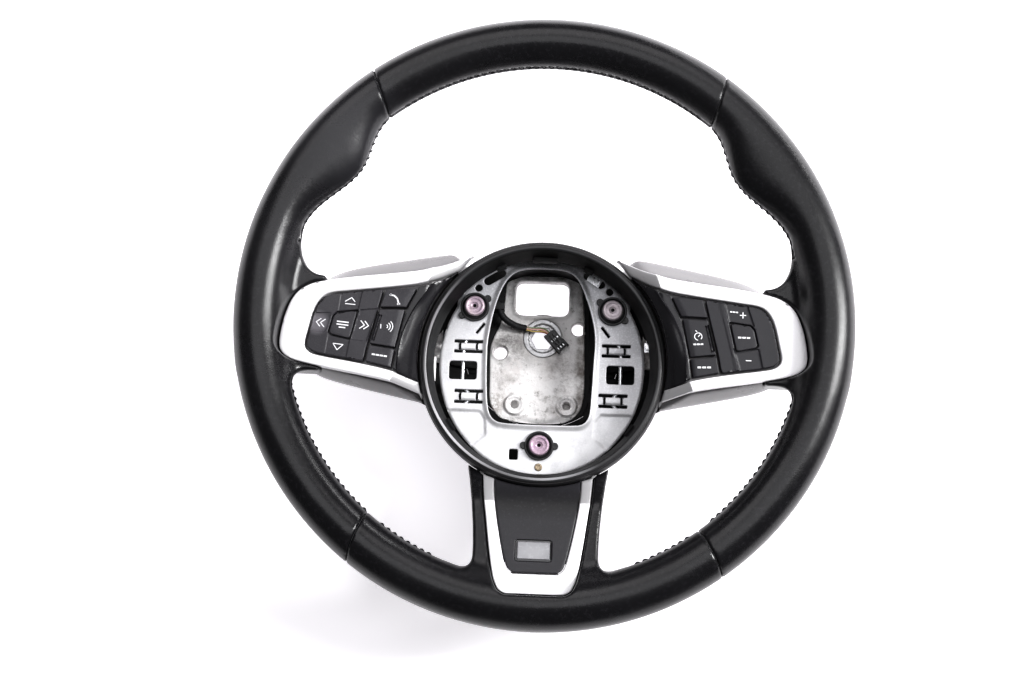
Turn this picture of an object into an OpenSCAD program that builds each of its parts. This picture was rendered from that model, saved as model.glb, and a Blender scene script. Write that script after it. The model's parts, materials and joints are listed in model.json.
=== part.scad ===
// Car steering wheel, three spokes, driver airbag removed.
// +Z faces the driver, +Y points to twelve o'clock, and the origin is on the
// steering axis at the back face of the hub.

/* [Rim] */
// Outside diameter of the rim
rim_od = 370; // [368:1:372]
// Height of the middle of the rim above the back face of the hub
rim_z = 96; // [95.5:0.5:96.5]
// Width of the rim section across the grip
sec_w = 30; // [29.5:0.5:31]
// Height of the rim section, front to back
sec_h = 33; // [32:0.5:34]
// How far each thumb grip swells inwards
grip_swell = 12.5; // [8:0.5:13]
// Angle of each thumb grip above the horizontal
grip_a = 36.5; // [34:0.5:38]
// Thickness of the leather
leather_t = 1.2; // [1:0.1:1.4]
// Angle of the leather seams above and below the horizontal
seam_a = 54.5; // [53:0.5:56]
// Diameter of the cast core inside the rim
core_d = 11; // [10:0.5:11]

/* [Hub] */
// Radius of the pilot bore in the back of the column socket
pilot_r = 9; // [8.5:0.1:9.5]
// Width across flats of the hexagon through the column socket
hex_af = 14; // [13:0.5:15]
// Outside radius of the ring around the airbag bay
bay_r = 75.1; // [75:0.1:75.3]
// Distance from the steering axis down to the middle of the airbag bay
bay_y = 25.2; // [25:0.1:25.4]

/* [Horn plate] */
// Thickness of the sheet
plate_t = 2; // [1.8:0.1:2.2]
// Travel of the plate when the horn is pressed
horn_travel = 1.5; // [1:0.1:1.6]
// Radius of the shoulder of each guide bolt
shoulder_r = 5; // [4.8:0.1:5]
// Running clearance of the bushings on the shoulders
run_gap = 0.05; // [0.02:0.01:0.08]

/* [Switches] */
// Gap between neighbouring keys
key_gap = 0.5; // [0.3:0.1:0.6]
// Radius of the key stems
stem_r = 1.5; // [1.4:0.1:1.6]
// Height of the key faces above the back face of the hub
key_z = 92; // [91.8:0.1:92.3]
// Thickness of the silver bezels
bezel_t = 5.5; // [5:0.1:5.6]

/* [Hidden] */
$fn = 64;

rc = (rim_od - sec_w) / 2;      // radius of the centre line of the rim
top_z = 92.5;                   // face of the side bezels
plate_z = 48;                   // underside of the horn plate
bolts = [[-43.2, 12.7], [43.2, 12.7], [0, -73.4]];
seat_z = 40;                    // top of the cast towers under the bolts
pad_c = [119.5, -8];            // middle of each thumb pad
tilt_z = 82.5;                  // height of the tilt axes
ridge_p = [79, -7.5];           // a point on the ridge across each side spoke
ridge_a = 18.2;                 // turn of that ridge
ridge_s = 38;                   // slope from the ridge down to the bay
kink_y = -110;                  // ridge across the bottom spoke

function mx(p) = [for (q = p) [-q[0], q[1]]];
function rev(p) = [for (i = [len(p) - 1 : -1 : 0]) p[i]];
function flip(fs) = [for (f = fs) rev(f)];
function grow(p, c, d) = [for (q = p) let (v = q - c, n = norm(v)) c + v * (n + d) / n];

bez_out = [[44, 40], [67, 27.5], [92, 24], [114, 21.5], [134, 18.3], [143, 15.5],
  [150.5, 9.5], [155, -1], [157.5, -13], [158, -22], [156, -26.5], [151, -30],
  [142.5, -32.2], [124, -35.6], [102, -39.2], [89.5, -41.7], [85.6, -43], [70, -48]];
bez_in = [[52, 29.5], [69.5, 19], [93, 15.5], [118, 12.5], [130, 11], [135, 7],
  [138.5, 0], [141, -12], [143, -21.5], [140, -25.5], [134.5, -27.5], [110, -31],
  [89.5, -35], [84, -37.3], [70, -41.2]];
house = [[76.5, 17.2], [93, 14.8], [118, 11.8], [129.5, 10.3], [134.4, 6.5],
  [137.8, 0], [140.3, -12], [142.2, -21.3], [139.6, -24.8], [134.3, -26.8],
  [110, -30.3], [91, -34], [89, -21.5], [83, 3]];
pad_out = [[96.9, 14], [118, 11.4], [129.2, 9.9], [133.8, 6.2], [137.2, 0],
  [139.7, -12], [141.5, -21], [139.2, -24.2], [134, -26.1], [109.9, -29.6],
  [106.8, -30], [105.2, -20], [99.6, 2]];
menu_q = [[111, 1], [124, -0.6], [126.4, -3.2], [128.7, -13], [127, -15], [115.2, -17.4]];
key_up = [[76.8, 15.4], [94.9, 14.1], [98.3, 3.2], [82.6, 3.6]];
key_mid = [[83.4, 2.2], [98.4, 1.6], [103.5, -19.1], [88.3, -21]];
key_low = [[88.4, -22.2], [103.8, -20.4], [105.5, -29.9], [90.1, -33.2]];
stem_up = [88.5, 9];
stem_mid = [93.5, -9.5];
stem_low = [96.8, -26.5];

ub_out = [[33.4, -90], [31.6, -108.5], [30.2, -117], [27.6, -136], [24.6, -153.5],
  [22.4, -159], [20.8, -161.6], [17, -163.4]];
ub_in = [[26.4, -90], [25.6, -108], [21.6, -130], [18, -146], [16, -150], [13, -151.9]];
leg_out = [[42, -90], [40.6, -97], [38.3, -110.7], [36.2, -136], [35.4, -148]];

// ---------- rim sections ----------
function bump(d, w) = d >= w ? 0 : pow(cos(90 * d / w), 2);
function sw1(a) = a < grip_a ? bump(grip_a - a, 18) : bump(a - grip_a, 15);
function swell(a) = grip_swell * (sw1(a) + sw1(180 - a));
function sec(a, m, g) = [for (j = [0 : m - 1]) let (t = 360 * j / m, u = cos(t),
    w = sec_w / 2 + g + (u < 0 ? swell(a) : 0))
  [rc + w * u, rim_z + (sec_h / 2 + g) * sin(t) * (u < 0 ? 1 - 0.012 * swell(a) * abs(u) : 1)]];
function core(m) = [for (j = [0 : m - 1]) let (t = 360 * j / m)
  [rc + (core_d / 2 + 0.35) * cos(t), rim_z + (core_d / 2 + 0.35) * sin(t)]];
function spin(p, a) = [for (q = p) [q[0] * cos(a), q[0] * sin(a), q[1]]];

// An arc of the rim between two closed sections: kind 0 is leather over the
// foam, kind 1 is foam around the core.
module rim_arc(a0, a1, n, kind) {
  m = 18;
  ang = [for (i = [0 : n]) a0 + (a1 - a0) * i / n];
  outer = [for (a = ang) each spin(sec(a, m, kind == 0 ? 0 : -leather_t - 0.12), a)];
  inner = [for (a = ang) each spin(kind == 0 ? sec(a, m, -leather_t) : core(m), a)];
  k = m * (n + 1);
  function o(i, j) = i * m + j % m;
  function q(i, j) = k + i * m + j % m;
  polyhedron(points = concat(outer, inner), convexity = 6, faces = flip(concat(
    [for (i = [0 : n - 1], j = [0 : m - 1]) each
      [[o(i, j), o(i + 1, j), o(i + 1, j + 1)], [o(i, j), o(i + 1, j + 1), o(i, j + 1)]]],
    [for (i = [0 : n - 1], j = [0 : m - 1]) each
      [[q(i, j), q(i + 1, j + 1), q(i + 1, j)], [q(i, j), q(i, j + 1), q(i + 1, j + 1)]]],
    [for (j = [0 : m - 1]) each
      [[o(0, j), o(0, j + 1), q(0, j + 1)], [o(0, j), q(0, j + 1), q(0, j)]]],
    [for (j = [0 : m - 1]) each
      [[o(n, j), q(n, j + 1), o(n, j + 1)], [o(n, j), q(n, j), q(n, j + 1)]]])));
}

// ---------- planes of the spokes ----------
module side_slab(t, up = 0) {
  translate([ridge_p[0], ridge_p[1], top_z + up]) rotate([0, 0, ridge_a]) {
    translate([0, -80, -t]) cube([110, 160, t]);
    rotate([0, -ridge_s, 0]) translate([-60, -80, -t]) cube([60, 160, t]);
  }
}
module side_above(dz) {
  translate([ridge_p[0], ridge_p[1], top_z - dz]) rotate([0, 0, ridge_a]) intersection() {
    translate([-90, -80, dz - 23]) cube([200, 160, 130]);
    union() {
      translate([0, -80, 0]) cube([110, 160, 60]);
      rotate([0, -ridge_s, 0]) translate([-90, -80, 0]) cube([90, 160, 90]);
    }
  }
}
module bottom_slab(t, up = 0) {
  translate([0, kink_y, 89 + up]) {
    rotate([-13.5, 0, 0]) translate([-60, -70, -t]) cube([120, 70, t]);
    rotate([-ridge_s, 0, 0]) translate([-60, 0, -t]) cube([120, 40, t]);
  }
}
module bay_clear(r) { translate([0, -bay_y, -10]) cylinder(r = r, h = 200, $fn = 128); }
module outline(z0, z1, p) { translate([0, 0, z0]) linear_extrude(z1 - z0) polygon(p); }

// ---------- casting ----------
module side_arm(ya, yb, cut) {
  translate([0, yb, 0]) rotate([90, 0, 0]) linear_extrude(yb - ya) intersection() {
    polygon([[26, 8], [40, 8.6], [72, 36], [84, 58], [126, 60], [147, 68.5], [160, 78],
      [168, 88], [168, 97], [160, 85.5], [146, 75], [124, 66], [80, 64], [67, 42],
      [38, 16], [26, 16]]);
    translate([cut[0], 0]) square([cut[1] - cut[0], 120]);
  }
}
module bottom_arm() {
  rotate([90, 0, 90]) translate([0, 0, -14]) linear_extrude(28)
    polygon([[-44, 8], [-52, 8], [-102, 41], [-112, 57], [-142, 68], [-160, 78],
      [-168, 88], [-168, 97], [-160, 85.5], [-140, 75], [-107, 63.5], [-98, 43.6],
      [-56, 16], [-44, 16]]);
}
module arms() {
  for (s = [0, 1]) mirror([s, 0, 0]) {
    side_arm(-24, 20, [26, 67]);
    side_arm(-22, 6, [60, 170]);
  }
  bottom_arm();
}
module core_ring(g) {
  translate([0, 0, rim_z]) rotate_extrude($fn = 128) translate([rc, 0]) circle(r = core_d / 2 + g, $fn = 32);
}
module rim_core() { color("silver") core_ring(0); }
floor_p = [[-33, -50], [-28, -56], [-14, -55], [0, -56.5], [14, -55], [28, -56], [33, -50],
  [33, 20], [29, 36], [20, 44], [-20, 44], [-29, 36], [-33, 20]];
function tower_z(b) = b[0] == 0 ? 27 : 20;
module armature() {
  color("silver") difference() {
    union() {
      translate([0, 0, 8]) linear_extrude(8) polygon(floor_p);
      cylinder(r = 17, h = 16);
      for (s = [-1, 1]) {
        translate([s * 16.8, -44.1, 0]) cylinder(r = 6.1, h = 18);
        translate([s * 26, 29, 0]) cylinder(r = 4.5, h = 12);
      }
      for (b = bolts) translate([b[0], b[1], tower_z(b)]) cylinder(r = 8, h = seat_z - tower_z(b));
      translate([0, -86.6, 30]) cylinder(r = 4.5, h = 11);
      arms();
    }
    core_ring(0.15);
    for (s = [-1, 1]) translate([s * 92, -8, 56]) cylinder(r = 1.25, h = 6.4);
    translate([0, -100, 34]) cylinder(r = 1.25, h = 9.8);
    translate([-18.5, 14, -1]) cube([36, 23, 20]);
    translate([0, 0, -1]) cylinder(r = 12.6, h = 20);
    translate([-27.2, -10.3, 0]) cylinder(r = 4.4, h = 24);
    translate([23, 6.6, -1]) cylinder(r = 4.4, h = 24);
    for (s = [-1, 1]) translate([s * 16.8, -44.1, 4]) cylinder(r = 2.6, h = 20);
    for (b = bolts) translate([b[0], b[1], 26]) cylinder(r = 3.55, h = 20);
    translate([0, -86.6, 36]) cylinder(r = 1.55, h = 10);
  }
}
module column_socket() {
  color("dimgray") difference() {
    cylinder(r = 12.6, h = 15.4);
    translate([0, 0, -1]) cylinder(r = pilot_r, h = 7);
    cylinder(r = hex_af / sqrt(3), h = 20, $fn = 6);
    translate([0, 0, 14.4]) cylinder(r = 9.4, h = 3);
  }
}

// ---------- rim ----------
module rim_cuts(g) {
  for (s = [0, 1]) mirror([s, 0, 0])
    outline(86.7, 130, concat([[120, 24]], [for (i = [4 : 12]) grow(bez_out, [120, -8], g)[i]], [[120, -40]]));
  outline(g > 1 ? 89.6 : 91.4, 130, concat([[0, -140]], grow(ub_out, [0, -130], g), rev(mx(grow(ub_out, [0, -130], g)))));
}
module arm_gaps() {
  for (s = [0, 1]) mirror([s, 0, 0]) translate([148, -22.2, 73]) cube([24, 28.4, 15]);
  translate([-14.2, -172, 74]) cube([28.4, 24, 14]);
}
module rim_foam() {
  g = 0.02;
  color("#3a3a3c") difference() {
    union() {
      rim_arc(seam_a + g, 180 - seam_a - g, 16, 1);
      rim_arc(180 - seam_a + g, 180 + seam_a - g, 28, 1);
      rim_arc(180 + seam_a + g, 360 - seam_a - g, 16, 1);
      rim_arc(-seam_a + g, seam_a - g, 28, 1);
    }
    rim_cuts(1.5);
    arms();
  }
}
module leather_top() { color("#26262a") rim_arc(seam_a + 0.02, 180 - seam_a - 0.02, 16, 0); }
module leather_right() {
  color("#2b2b2f") difference() {
    rim_arc(-seam_a + 0.02, seam_a - 0.02, 28, 0);
    rim_cuts(0.3);
    arm_gaps();
  }
}
module leather_left() {
  color("#2b2b2f") difference() {
    rim_arc(180 - seam_a + 0.02, 180 + seam_a - 0.02, 28, 0);
    rim_cuts(0.3);
    arm_gaps();
  }
}
module leg() {
  difference() {
    intersection() {
      outline(60, 112, concat(leg_out, [[34.2, -150], [25.9, -149.4]], rev([for (i = [0 : 3]) grow(ub_out, [0, -130], 0.35)[i]])));
      bottom_slab(8.5);
    }
    bay_clear(bay_r + 0.4);
  }
}
module leather_bottom() {
  color("#2b2b2f") {
    difference() {
      rim_arc(180 + seam_a + 0.02, 360 - seam_a - 0.02, 16, 0);
      rim_cuts(0.3);
      arm_gaps();
    }
    for (s = [0, 1]) mirror([s, 0, 0]) leg();
  }
}

// ---------- shells ----------
module cover_side(g) {
  hull() {
    outline(20, 21, [[28, 22 - g], [62 - g, 16 - g], [62 - g, -30 + g], [28, -40 + g]]);
    outline(54.5 + g / 2, 55.5 + g / 2, [[50, 34 - g], [112 - g, 24 - g], [124 - g, 6 - g],
      [124 - g, -22 + g], [112 - g, -34 + g], [50, -46 + g]]);
    outline(67, 69, [[56, 44 - g], [90, 39 - g], [127 - g, 30 - g], [142 - g, 20 - g],
      [149 - g, -6], [147 - g, -28 + g], [136 - g, -39.5 + g], [110, -43.5 + g],
      [86, -48 + g], [62, -54 + g]]);
    outline(85, 86, [[60, 30 - g], [92, 23.4 - g], [134, 17.7 - g], [149 - g, 8 - g],
      [153 - g, -12], [152 - g, -26 + g], [142, -31.6 + g], [102, -38.6 + g], [74, -46 + g]]);
  }
}
module cover_bottom(g) {
  hull() {
    outline(12, 13, [[-24 + g, -30], [24 - g, -30], [24 - g, -64 + g], [-24 + g, -64 + g]]);
    outline(26, 27, [[-28 + g, -40], [28 - g, -40], [24 - g, -94 + g], [-24 + g, -94 + g]]);
    outline(52, 53, [[-36 + g, -60], [36 - g, -60], [27 - g, -126 + g], [-27 + g, -126 + g]]);
    outline(66, 68, [[-42 + g, -70], [42 - g, -70], [36 - g, -140 + g], [-36 + g, -140 + g]]);
    outline(76, 77, [[-40 + g, -80], [40 - g, -80], [35 - g, -147 + g], [-35 + g, -147 + g]]);
  }
}
module cover_bowl(g) {
  hull() {
    translate([0, -8, 14]) cylinder(r = 53 - g, h = 1, $fn = 72);
    translate([0, -24, 43]) cylinder(r = 73.4 - g, h = 1, $fn = 72);
    translate([0, -bay_y, 66]) cylinder(r = 74.6 - g, h = 1.6, $fn = 72);
  }
}
module back_cover() {
  color("#303034") difference() {
    union() {
      cover_shell();
      for (s = [0, 1]) mirror([s, 0, 0]) intersection() {
        cover_side(0.3);
        screw_boss([92, -8], 26, 57.8);
      }
      difference() {
        intersection() {
          cover_bottom(0.3);
          screw_boss([0, -100], 24, 39.4);
        }
        translate([0, 0, -0.3]) bottom_arm();
      }
    }
    for (s = [-1, 1]) translate([s * 92, -8, 20]) {
      cylinder(r = 2.4, h = 34.8);
      cylinder(r = 1.3, h = 40);
    }
    translate([0, -100, 20]) {
      cylinder(r = 2.4, h = 16.3);
      cylinder(r = 1.3, h = 22);
    }
  }
}
module cover_shell() {
  difference() {
    union() {
      cover_bowl(0);
      for (s = [0, 1]) mirror([s, 0, 0]) cover_side(0);
      cover_bottom(0);
    }
    union() {
        cover_bowl(2.6);
        translate([0, -8, 10]) cylinder(r = 50.4, h = 6);
        translate([0, -bay_y, 64]) cylinder(r = 72, h = 40);
        for (s = [0, 1]) mirror([s, 0, 0]) {
          cover_side(2.6);
          outline(80, 90, [[60, 26], [92, 20.8], [134, 15.1], [146, 6], [150.4, -12],
            [149.4, -23.4], [140, -29], [102, -36], [74, -42]]);
          side_above(7.4);
          translate([138, -22.5, 60]) cube([40, 29, 40]);
          side_arm(-24.3, 20.3, [26, 67]);
          side_arm(-22.3, 6.3, [60, 170]);
        }
        translate([0, -bay_y, 67.7]) cylinder(r = bay_r + 0.3, h = 40);
        translate([-180, -180, 85]) cube([360, 360, 10]);
        translate([0, 0, 7.7]) linear_extrude(8.6) polygon(grow(floor_p, [0, -6], 0.4));
        translate([0.3, 0, 0]) bottom_arm();
        translate([-0.3, 0, 0]) bottom_arm();
        translate([0, 0, 0.6]) cover_bottom(2.8);
        translate([-32, -146, 75]) cube([64, 80, 10]);
        translate([-14.4, -160, 62]) cube([28.8, 30, 24]);
        bay_clear(49);
        for (b = bolts) translate([b[0], b[1], tower_z(b) - 0.5]) cylinder(r = 8.3, h = 40);
        for (s = [0, 1]) mirror([s, 0, 0]) intersection() {
          outline(60, 112, [[46, -88], [46, -151], [24, -151], [24, -88]]);
          bottom_slab(9.2, 0.3);
        }
    }
  }
}
module hub_shroud() {
  color("#2a2a2d") translate([0, -bay_y, 0]) rotate_extrude($fn = 128)
    polygon([[bay_r, 68], [bay_r, 77], [74.2, 80], [71.2, 81], [67.8, 79.6], [66.6, 62],
      [68.6, 62], [69.6, 77.2], [72.6, 78.2], [72.6, 68]]);
}

// ---------- side spokes ----------
module bezel() {
  difference() {
    intersection() {
      outline(60, 94, concat(bez_out, rev(bez_in)));
      side_slab(bezel_t);
    }
    bay_clear(bay_r + 0.4);
  }
}
module bezel_right() { color("#c9cacc") bezel(); }
module bezel_left() { color("#c9cacc") mirror([1, 0, 0]) bezel(); }
module panel() {
  difference() {
    intersection() {
      outline(60, 94, [[51, 28.4], [69.3, 18.2], [75.2, 17], [81.4, 3], [87.2, -21.5],
        [88.8, -34], [84, -36.4], [70, -40.6], [60, -20]]);
      side_slab(9, -0.6);
    }
    bay_clear(bay_r + 0.4);
  }
}
module panel_right() { color("#1c1c1f") panel(); }
module panel_left() { color("#1c1c1f") mirror([1, 0, 0]) panel(); }

module housing() {
  difference() {
    outline(75, 84.5, house);
    outline(74, 80.5, grow(house, [112, -9], -1.6));
    translate([pad_c[0], pad_c[1], 70]) cylinder(r = 13.5, h = 20);
    for (p = [stem_up, stem_mid, stem_low]) translate([p[0], p[1], 70])
      cylinder(r = stem_r + run_gap, h = 20);
    translate([pad_c[0] - 16.2, pad_c[1], tilt_z]) rotate([0, 90, 0])
      cylinder(r = 1 + run_gap, h = 32.4);
  }
}
module switch_housing_right() { color("#202023") housing(); }
module switch_housing_left() { color("#202023") mirror([1, 0, 0]) housing(); }
inner_h = [for (p = grow(house, [112, -9], -2)) p];
module base() { outline(72.8, 74.9, [for (p = house) [min(p[0], 132), p[1]]]); }
module switch_base_right() { color("#242427") base(); }
module switch_base_left() { color("#242427") mirror([1, 0, 0]) base(); }
module board() { outline(75, 76.6, inner_h); }
module switch_board_right() { color("#2f6b45") board(); }
module switch_board_left() { color("#2f6b45") mirror([1, 0, 0]) board(); }
module mat() {
  outline(76.65, 77.8, inner_h);
  for (p = [stem_up, stem_mid, stem_low]) translate([p[0], p[1], 77.7]) cylinder(r1 = 3.2, r2 = 2.2, h = 1.4, $fn = 24);
  for (a = [0 : 90 : 270]) translate([pad_c[0] + 8.5 * cos(a), pad_c[1] + 8.5 * sin(a), 77.7])
    cylinder(r1 = 2.6, r2 = 1.8, h = 1.4, $fn = 24);
}
module switch_mat_right() { color("#55565a") mat(); }
module switch_mat_left() { color("#55565a") mirror([1, 0, 0]) mat(); }

module key(p, st) {
  c = [for (k = [0, 1]) (p[0][k] + p[1][k] + p[2][k] + p[3][k]) / 4];
  outline(85.4, key_z, p);
  translate([st[0], st[1], 80]) cylinder(r = stem_r, h = 6);
}
module pad_frame() {
  difference() {
    outline(86.7, key_z, pad_out);
    outline(88.6, 100, menu_q);
    translate([pad_c[0], pad_c[1], 80]) cylinder(r = stem_r + run_gap, h = 20);
  }
}
module centre_key() {
  outline(89.4, key_z + 0.3, grow(menu_q, [119.5, -8], -key_gap * 1.3));
  translate([pad_c[0], pad_c[1], 84]) cylinder(r = stem_r, h = 6);
}
module nav_gimbal() {
  color("#d8d8d4") mirror([1, 0, 0]) translate([pad_c[0], pad_c[1], tilt_z]) {
    difference() {
      translate([0, 0, -1.4]) cylinder(r = 9.6, h = 2.8);
      translate([0, 0, -5]) cylinder(r = 6.6, h = 10);
    }
    for (a = [0, 180]) rotate([0, 0, a]) translate([8, 0, 0]) rotate([0, 90, 0]) cylinder(r = 1, h = 7.8);
    for (a = [90, 270]) rotate([0, 0, a]) translate([8, 0, 0]) rotate([0, 90, 0]) cylinder(r = 1, h = 4.2);
  }
}
module nav_pad() {
  color("#3c3a40") mirror([1, 0, 0]) {
    pad_frame();
    for (s = [-1, 1]) translate([pad_c[0], pad_c[1], 0]) difference() {
      translate([-2, s * 11.2 - 0.8, 80.9]) cube([4, 1.6, 6]);
      translate([0, s * 11.2 - 2, tilt_z]) rotate([-90, 0, 0]) cylinder(r = 1 + run_gap, h = 4);
    }
  }
}
module menu_key() { color("#46444a") mirror([1, 0, 0]) centre_key(); }
module phone_key() { color("#403e44") mirror([1, 0, 0]) key(key_up, stem_up); }
module voice_key() { color("#403e44") mirror([1, 0, 0]) key(key_mid, stem_mid); }
module mode_key() { color("#403e44") mirror([1, 0, 0]) key(key_low, stem_low); }
module cruise_rocker() {
  color("#3c3a40") {
    pad_frame();
    translate([pad_c[0], pad_c[1], 0]) {
      difference() {
        translate([0, 0, 81.2]) cylinder(r = 9.6, h = 5.7);
        translate([0, 0, 80]) cylinder(r = 6.6, h = 8);
      }
      for (a = [0, 180]) rotate([0, 0, a]) translate([8, 0, tilt_z]) rotate([0, 90, 0]) cylinder(r = 1, h = 7.8);
    }
  }
}
module resume_key() { color("#46444a") centre_key(); }
module limiter_key() { color("#403e44") key(key_mid, stem_mid); }
module cancel_key() { color("#403e44") key(key_low, stem_low); }
module blank_cap() { color("#403e44") key(key_up, stem_up); }

// ---------- bottom spoke ----------
module bezel_bottom() {
  color("#c9cacc") difference() {
    intersection() {
      outline(60, 108, concat(ub_out, rev(mx(ub_out)), mx(ub_in), rev(ub_in)));
      bottom_slab(bezel_t);
    }
    bay_clear(bay_r + 0.4);
  }
}
badge_c = [0, -138.3];
module insert_bottom() {
  p = [[25.8, -90], [25, -108], [21.1, -130], [17.5, -145.8], [15.6, -149.6], [12.8, -151.3]];
  color("#2e2d31") difference() {
    intersection() {
      outline(60, 108, concat(p, rev(mx(p))));
      bottom_slab(5, -0.8);
    }
    bay_clear(bay_r + 0.4);
    translate([0, badge_c[1], 93]) rotate([-13.5, 0, 0]) translate([-10.9, -6.4, 0]) cube([21.8, 12.8, 8]);
  }
}
module badge_plate() {
  color("#101012") translate([0, badge_c[1], 93.1]) rotate([-13.5, 0, 0])
    translate([-10.5, -6, 0]) cube([21, 12, 1.7]);
}

// ---------- horn plate ----------
plate_open = [[-34.5, -12], [-33.5, -2], [-31, 12], [-27, 25], [-21.5, 34], [-14, 38],
  [0, 38.8], [14, 38], [21.5, 33], [27, 20], [31.5, 5], [33, -6], [32.3, -20],
  [31.5, -39], [30.8, -54], [27.5, -59], [22, -60.5], [-23, -60.5], [-29.5, -58],
  [-33, -51.5], [-34.3, -32]];
function plate_rim() = [for (i = [0 : 95]) let (a = i * 3.75, s = sin(a), c = cos(a),
    up = -23.6 + 69.3 * s > 12.3)
  [(up ? 67 : 64.2) * c, -23.6 + (s > 0 ? 69.3 : 68.6) * s]];
module carrier_plate() {
  cut = plate_z - 3;
  color("#b9bcc0") difference() {
    union() {
      difference() {
        outline(plate_z, plate_z + plate_t, plate_rim());
        for (s = [-1, 1]) translate([s * 63, 17.6, cut]) cube([17, 11, 12], center = true);
      }
      outline(plate_z, plate_z + 4.4, grow(plate_open, [0, -11], 1.9));
      for (s = [-1, 1]) outline(plate_z + 1, plate_z + plate_t + 0.9,
        [[s * 38, -72], [s * 39.5, -57], [s * 43, -53.5], [s * 57, -54], [s * 53, -66], [s * 47, -74]]);
    }
    outline(cut, 60, plate_open);
    for (b = bolts) translate([b[0], b[1], cut]) cylinder(r = 8.2, h = 12);
    for (s = [-1, 1]) {
      for (y = [-9.2, -15.5]) translate([s * 46.3 - 9, y - 0.9, cut]) cube([18, 1.8, 12]);
      for (y = [-40.5, -47.3]) translate([s * 45 - 9, y - 0.9, cut]) cube([18, 1.8, 12]);
      translate([s * 49.2 - 8.7, -33.2, cut]) cube([17.4, 11.4, 12]);
      translate([s * 41.3, 25.2, cut]) cylinder(r = 2.3, h = 12);
      translate([s * 31.4, 32.5, cut]) rotate([0, 0, -s * 32]) {
        translate([-4.9, -2.7, 0]) cube([9.8, 5.4, 12]);
        for (e = [-4.9, 4.9]) translate([e, 0, 0]) cylinder(r = 2.7, h = 12);
      }
      translate([s * 39.3, -0.6, cut]) rotate([0, 0, s * -52]) translate([-4, -0.8, 0]) cube([8, 1.6, 12]);
    }
    translate([-18.5, -82.4, cut]) cube([5.5, 6.6, 12]);
    translate([0, -86.6, cut]) cylinder(r = 1.4, h = 12);
  }
}
module plate_bushings() {
  color("#151517") for (b = bolts) translate([b[0], b[1], 0]) difference() {
    union() {
      translate([0, 0, plate_z - 1]) cylinder(r = 8.15, h = 4);
      translate([0, 0, plate_z + plate_t + 0.05]) cylinder(r = 9, h = 2.4);
      translate([0, 0, plate_z - 1]) cylinder(r = 9, h = 0.95);
      for (a = [35, 215]) rotate([0, 0, b[0] < 0 ? a : (b[0] > 0 ? 180 - a : 0 + a - 35)])
        translate([9, 0, plate_z + plate_t + 0.05]) cylinder(r = 2.6, h = 1.8);
    }
    translate([0, 0, 30]) cylinder(r = shoulder_r + run_gap, h = 30);
  }
}
module guide_bolts() {
  color("#c8a9b0") for (b = bolts) translate([b[0], b[1], 0]) difference() {
    union() {
      translate([0, 0, 28]) cylinder(r = 3.5, h = 13);
      translate([0, 0, seat_z]) cylinder(r = shoulder_r, h = plate_z + 4.6 - seat_z);
      translate([0, 0, plate_z + 4.55]) cylinder(r = 6.3, h = 3.2);
      translate([0, 0, plate_z + 7.7]) cylinder(r1 = 6.3, r2 = 5.4, h = 0.8);
    }
    translate([0, 0, plate_z + 5.5]) cylinder(r = 1.5, h = 10, $fn = 6);
  }
}
function coil(r, w, p, turns, n, m) = [for (i = [0 : n]) let (a = 360 * turns * i / n)
  for (j = [0 : m - 1]) let (t = 360 * j / m)
    [(r + w * cos(t)) * cos(a), (r + w * cos(t)) * sin(a), p * turns * i / n + w * sin(t)]];
module spring(r, w, h, turns) {
  n = 60; m = 6; p = (h - 2 * w) / turns;
  translate([0, 0, w]) polyhedron(points = coil(r, w, p, turns, n, m), convexity = 8, faces = concat(
    [for (i = [0 : n - 1], j = [0 : m - 1]) let (a = i * m + j, b = i * m + (j + 1) % m)
      each [[a, b, b + m], [a, b + m, a + m]]],
    [[for (j = [m - 1 : -1 : 0]) j]], [[for (j = [0 : m - 1]) n * m + j]]));
}
module horn_springs() {
  color("#9a9a9c") for (b = bolts) translate([b[0], b[1], seat_z + 0.1]) spring(6.7, 0.7, 6.8, 4);
}
module plate_rivet() {
  color("#7d7668") translate([0, -86.6, 0]) {
    translate([0, 0, plate_z - 0.95]) cylinder(r = 2.2, h = 0.95);
    translate([0, 0, plate_z - 0.2]) cylinder(r = 1.35, h = plate_t + 0.6);
    translate([0, 0, plate_z + plate_t]) cylinder(r1 = 2.4, r2 = 1.8, h = 0.9);
  }
}
module horn_contact() {
  color("#b08a4a") translate([0, -86.6, 0]) {
    translate([0, 0, 37]) cylinder(r = 1.5, h = 5);
    translate([0, 0, 41]) cylinder(r = 3.2, h = 4.2);
  }
}
wire_p = [[43.8, 2.4], [44.6, 0], [47.2, -6.4], [48.6, -10], [49.4, -15], [49.4, -24],
  [49.4, -33], [48.6, -37], [45, -42], [44.2, -44.4], [45.8, -46.8], [50.2, -50.8]];
module wire() { tube([for (p = wire_p) [p[0], p[1], 46.2]], 1.1, 8); }
module latch_wire_right() { color("#d0d2d4") wire(); }
module latch_wire_left() { color("#d0d2d4") mirror([1, 0, 0]) wire(); }

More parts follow.
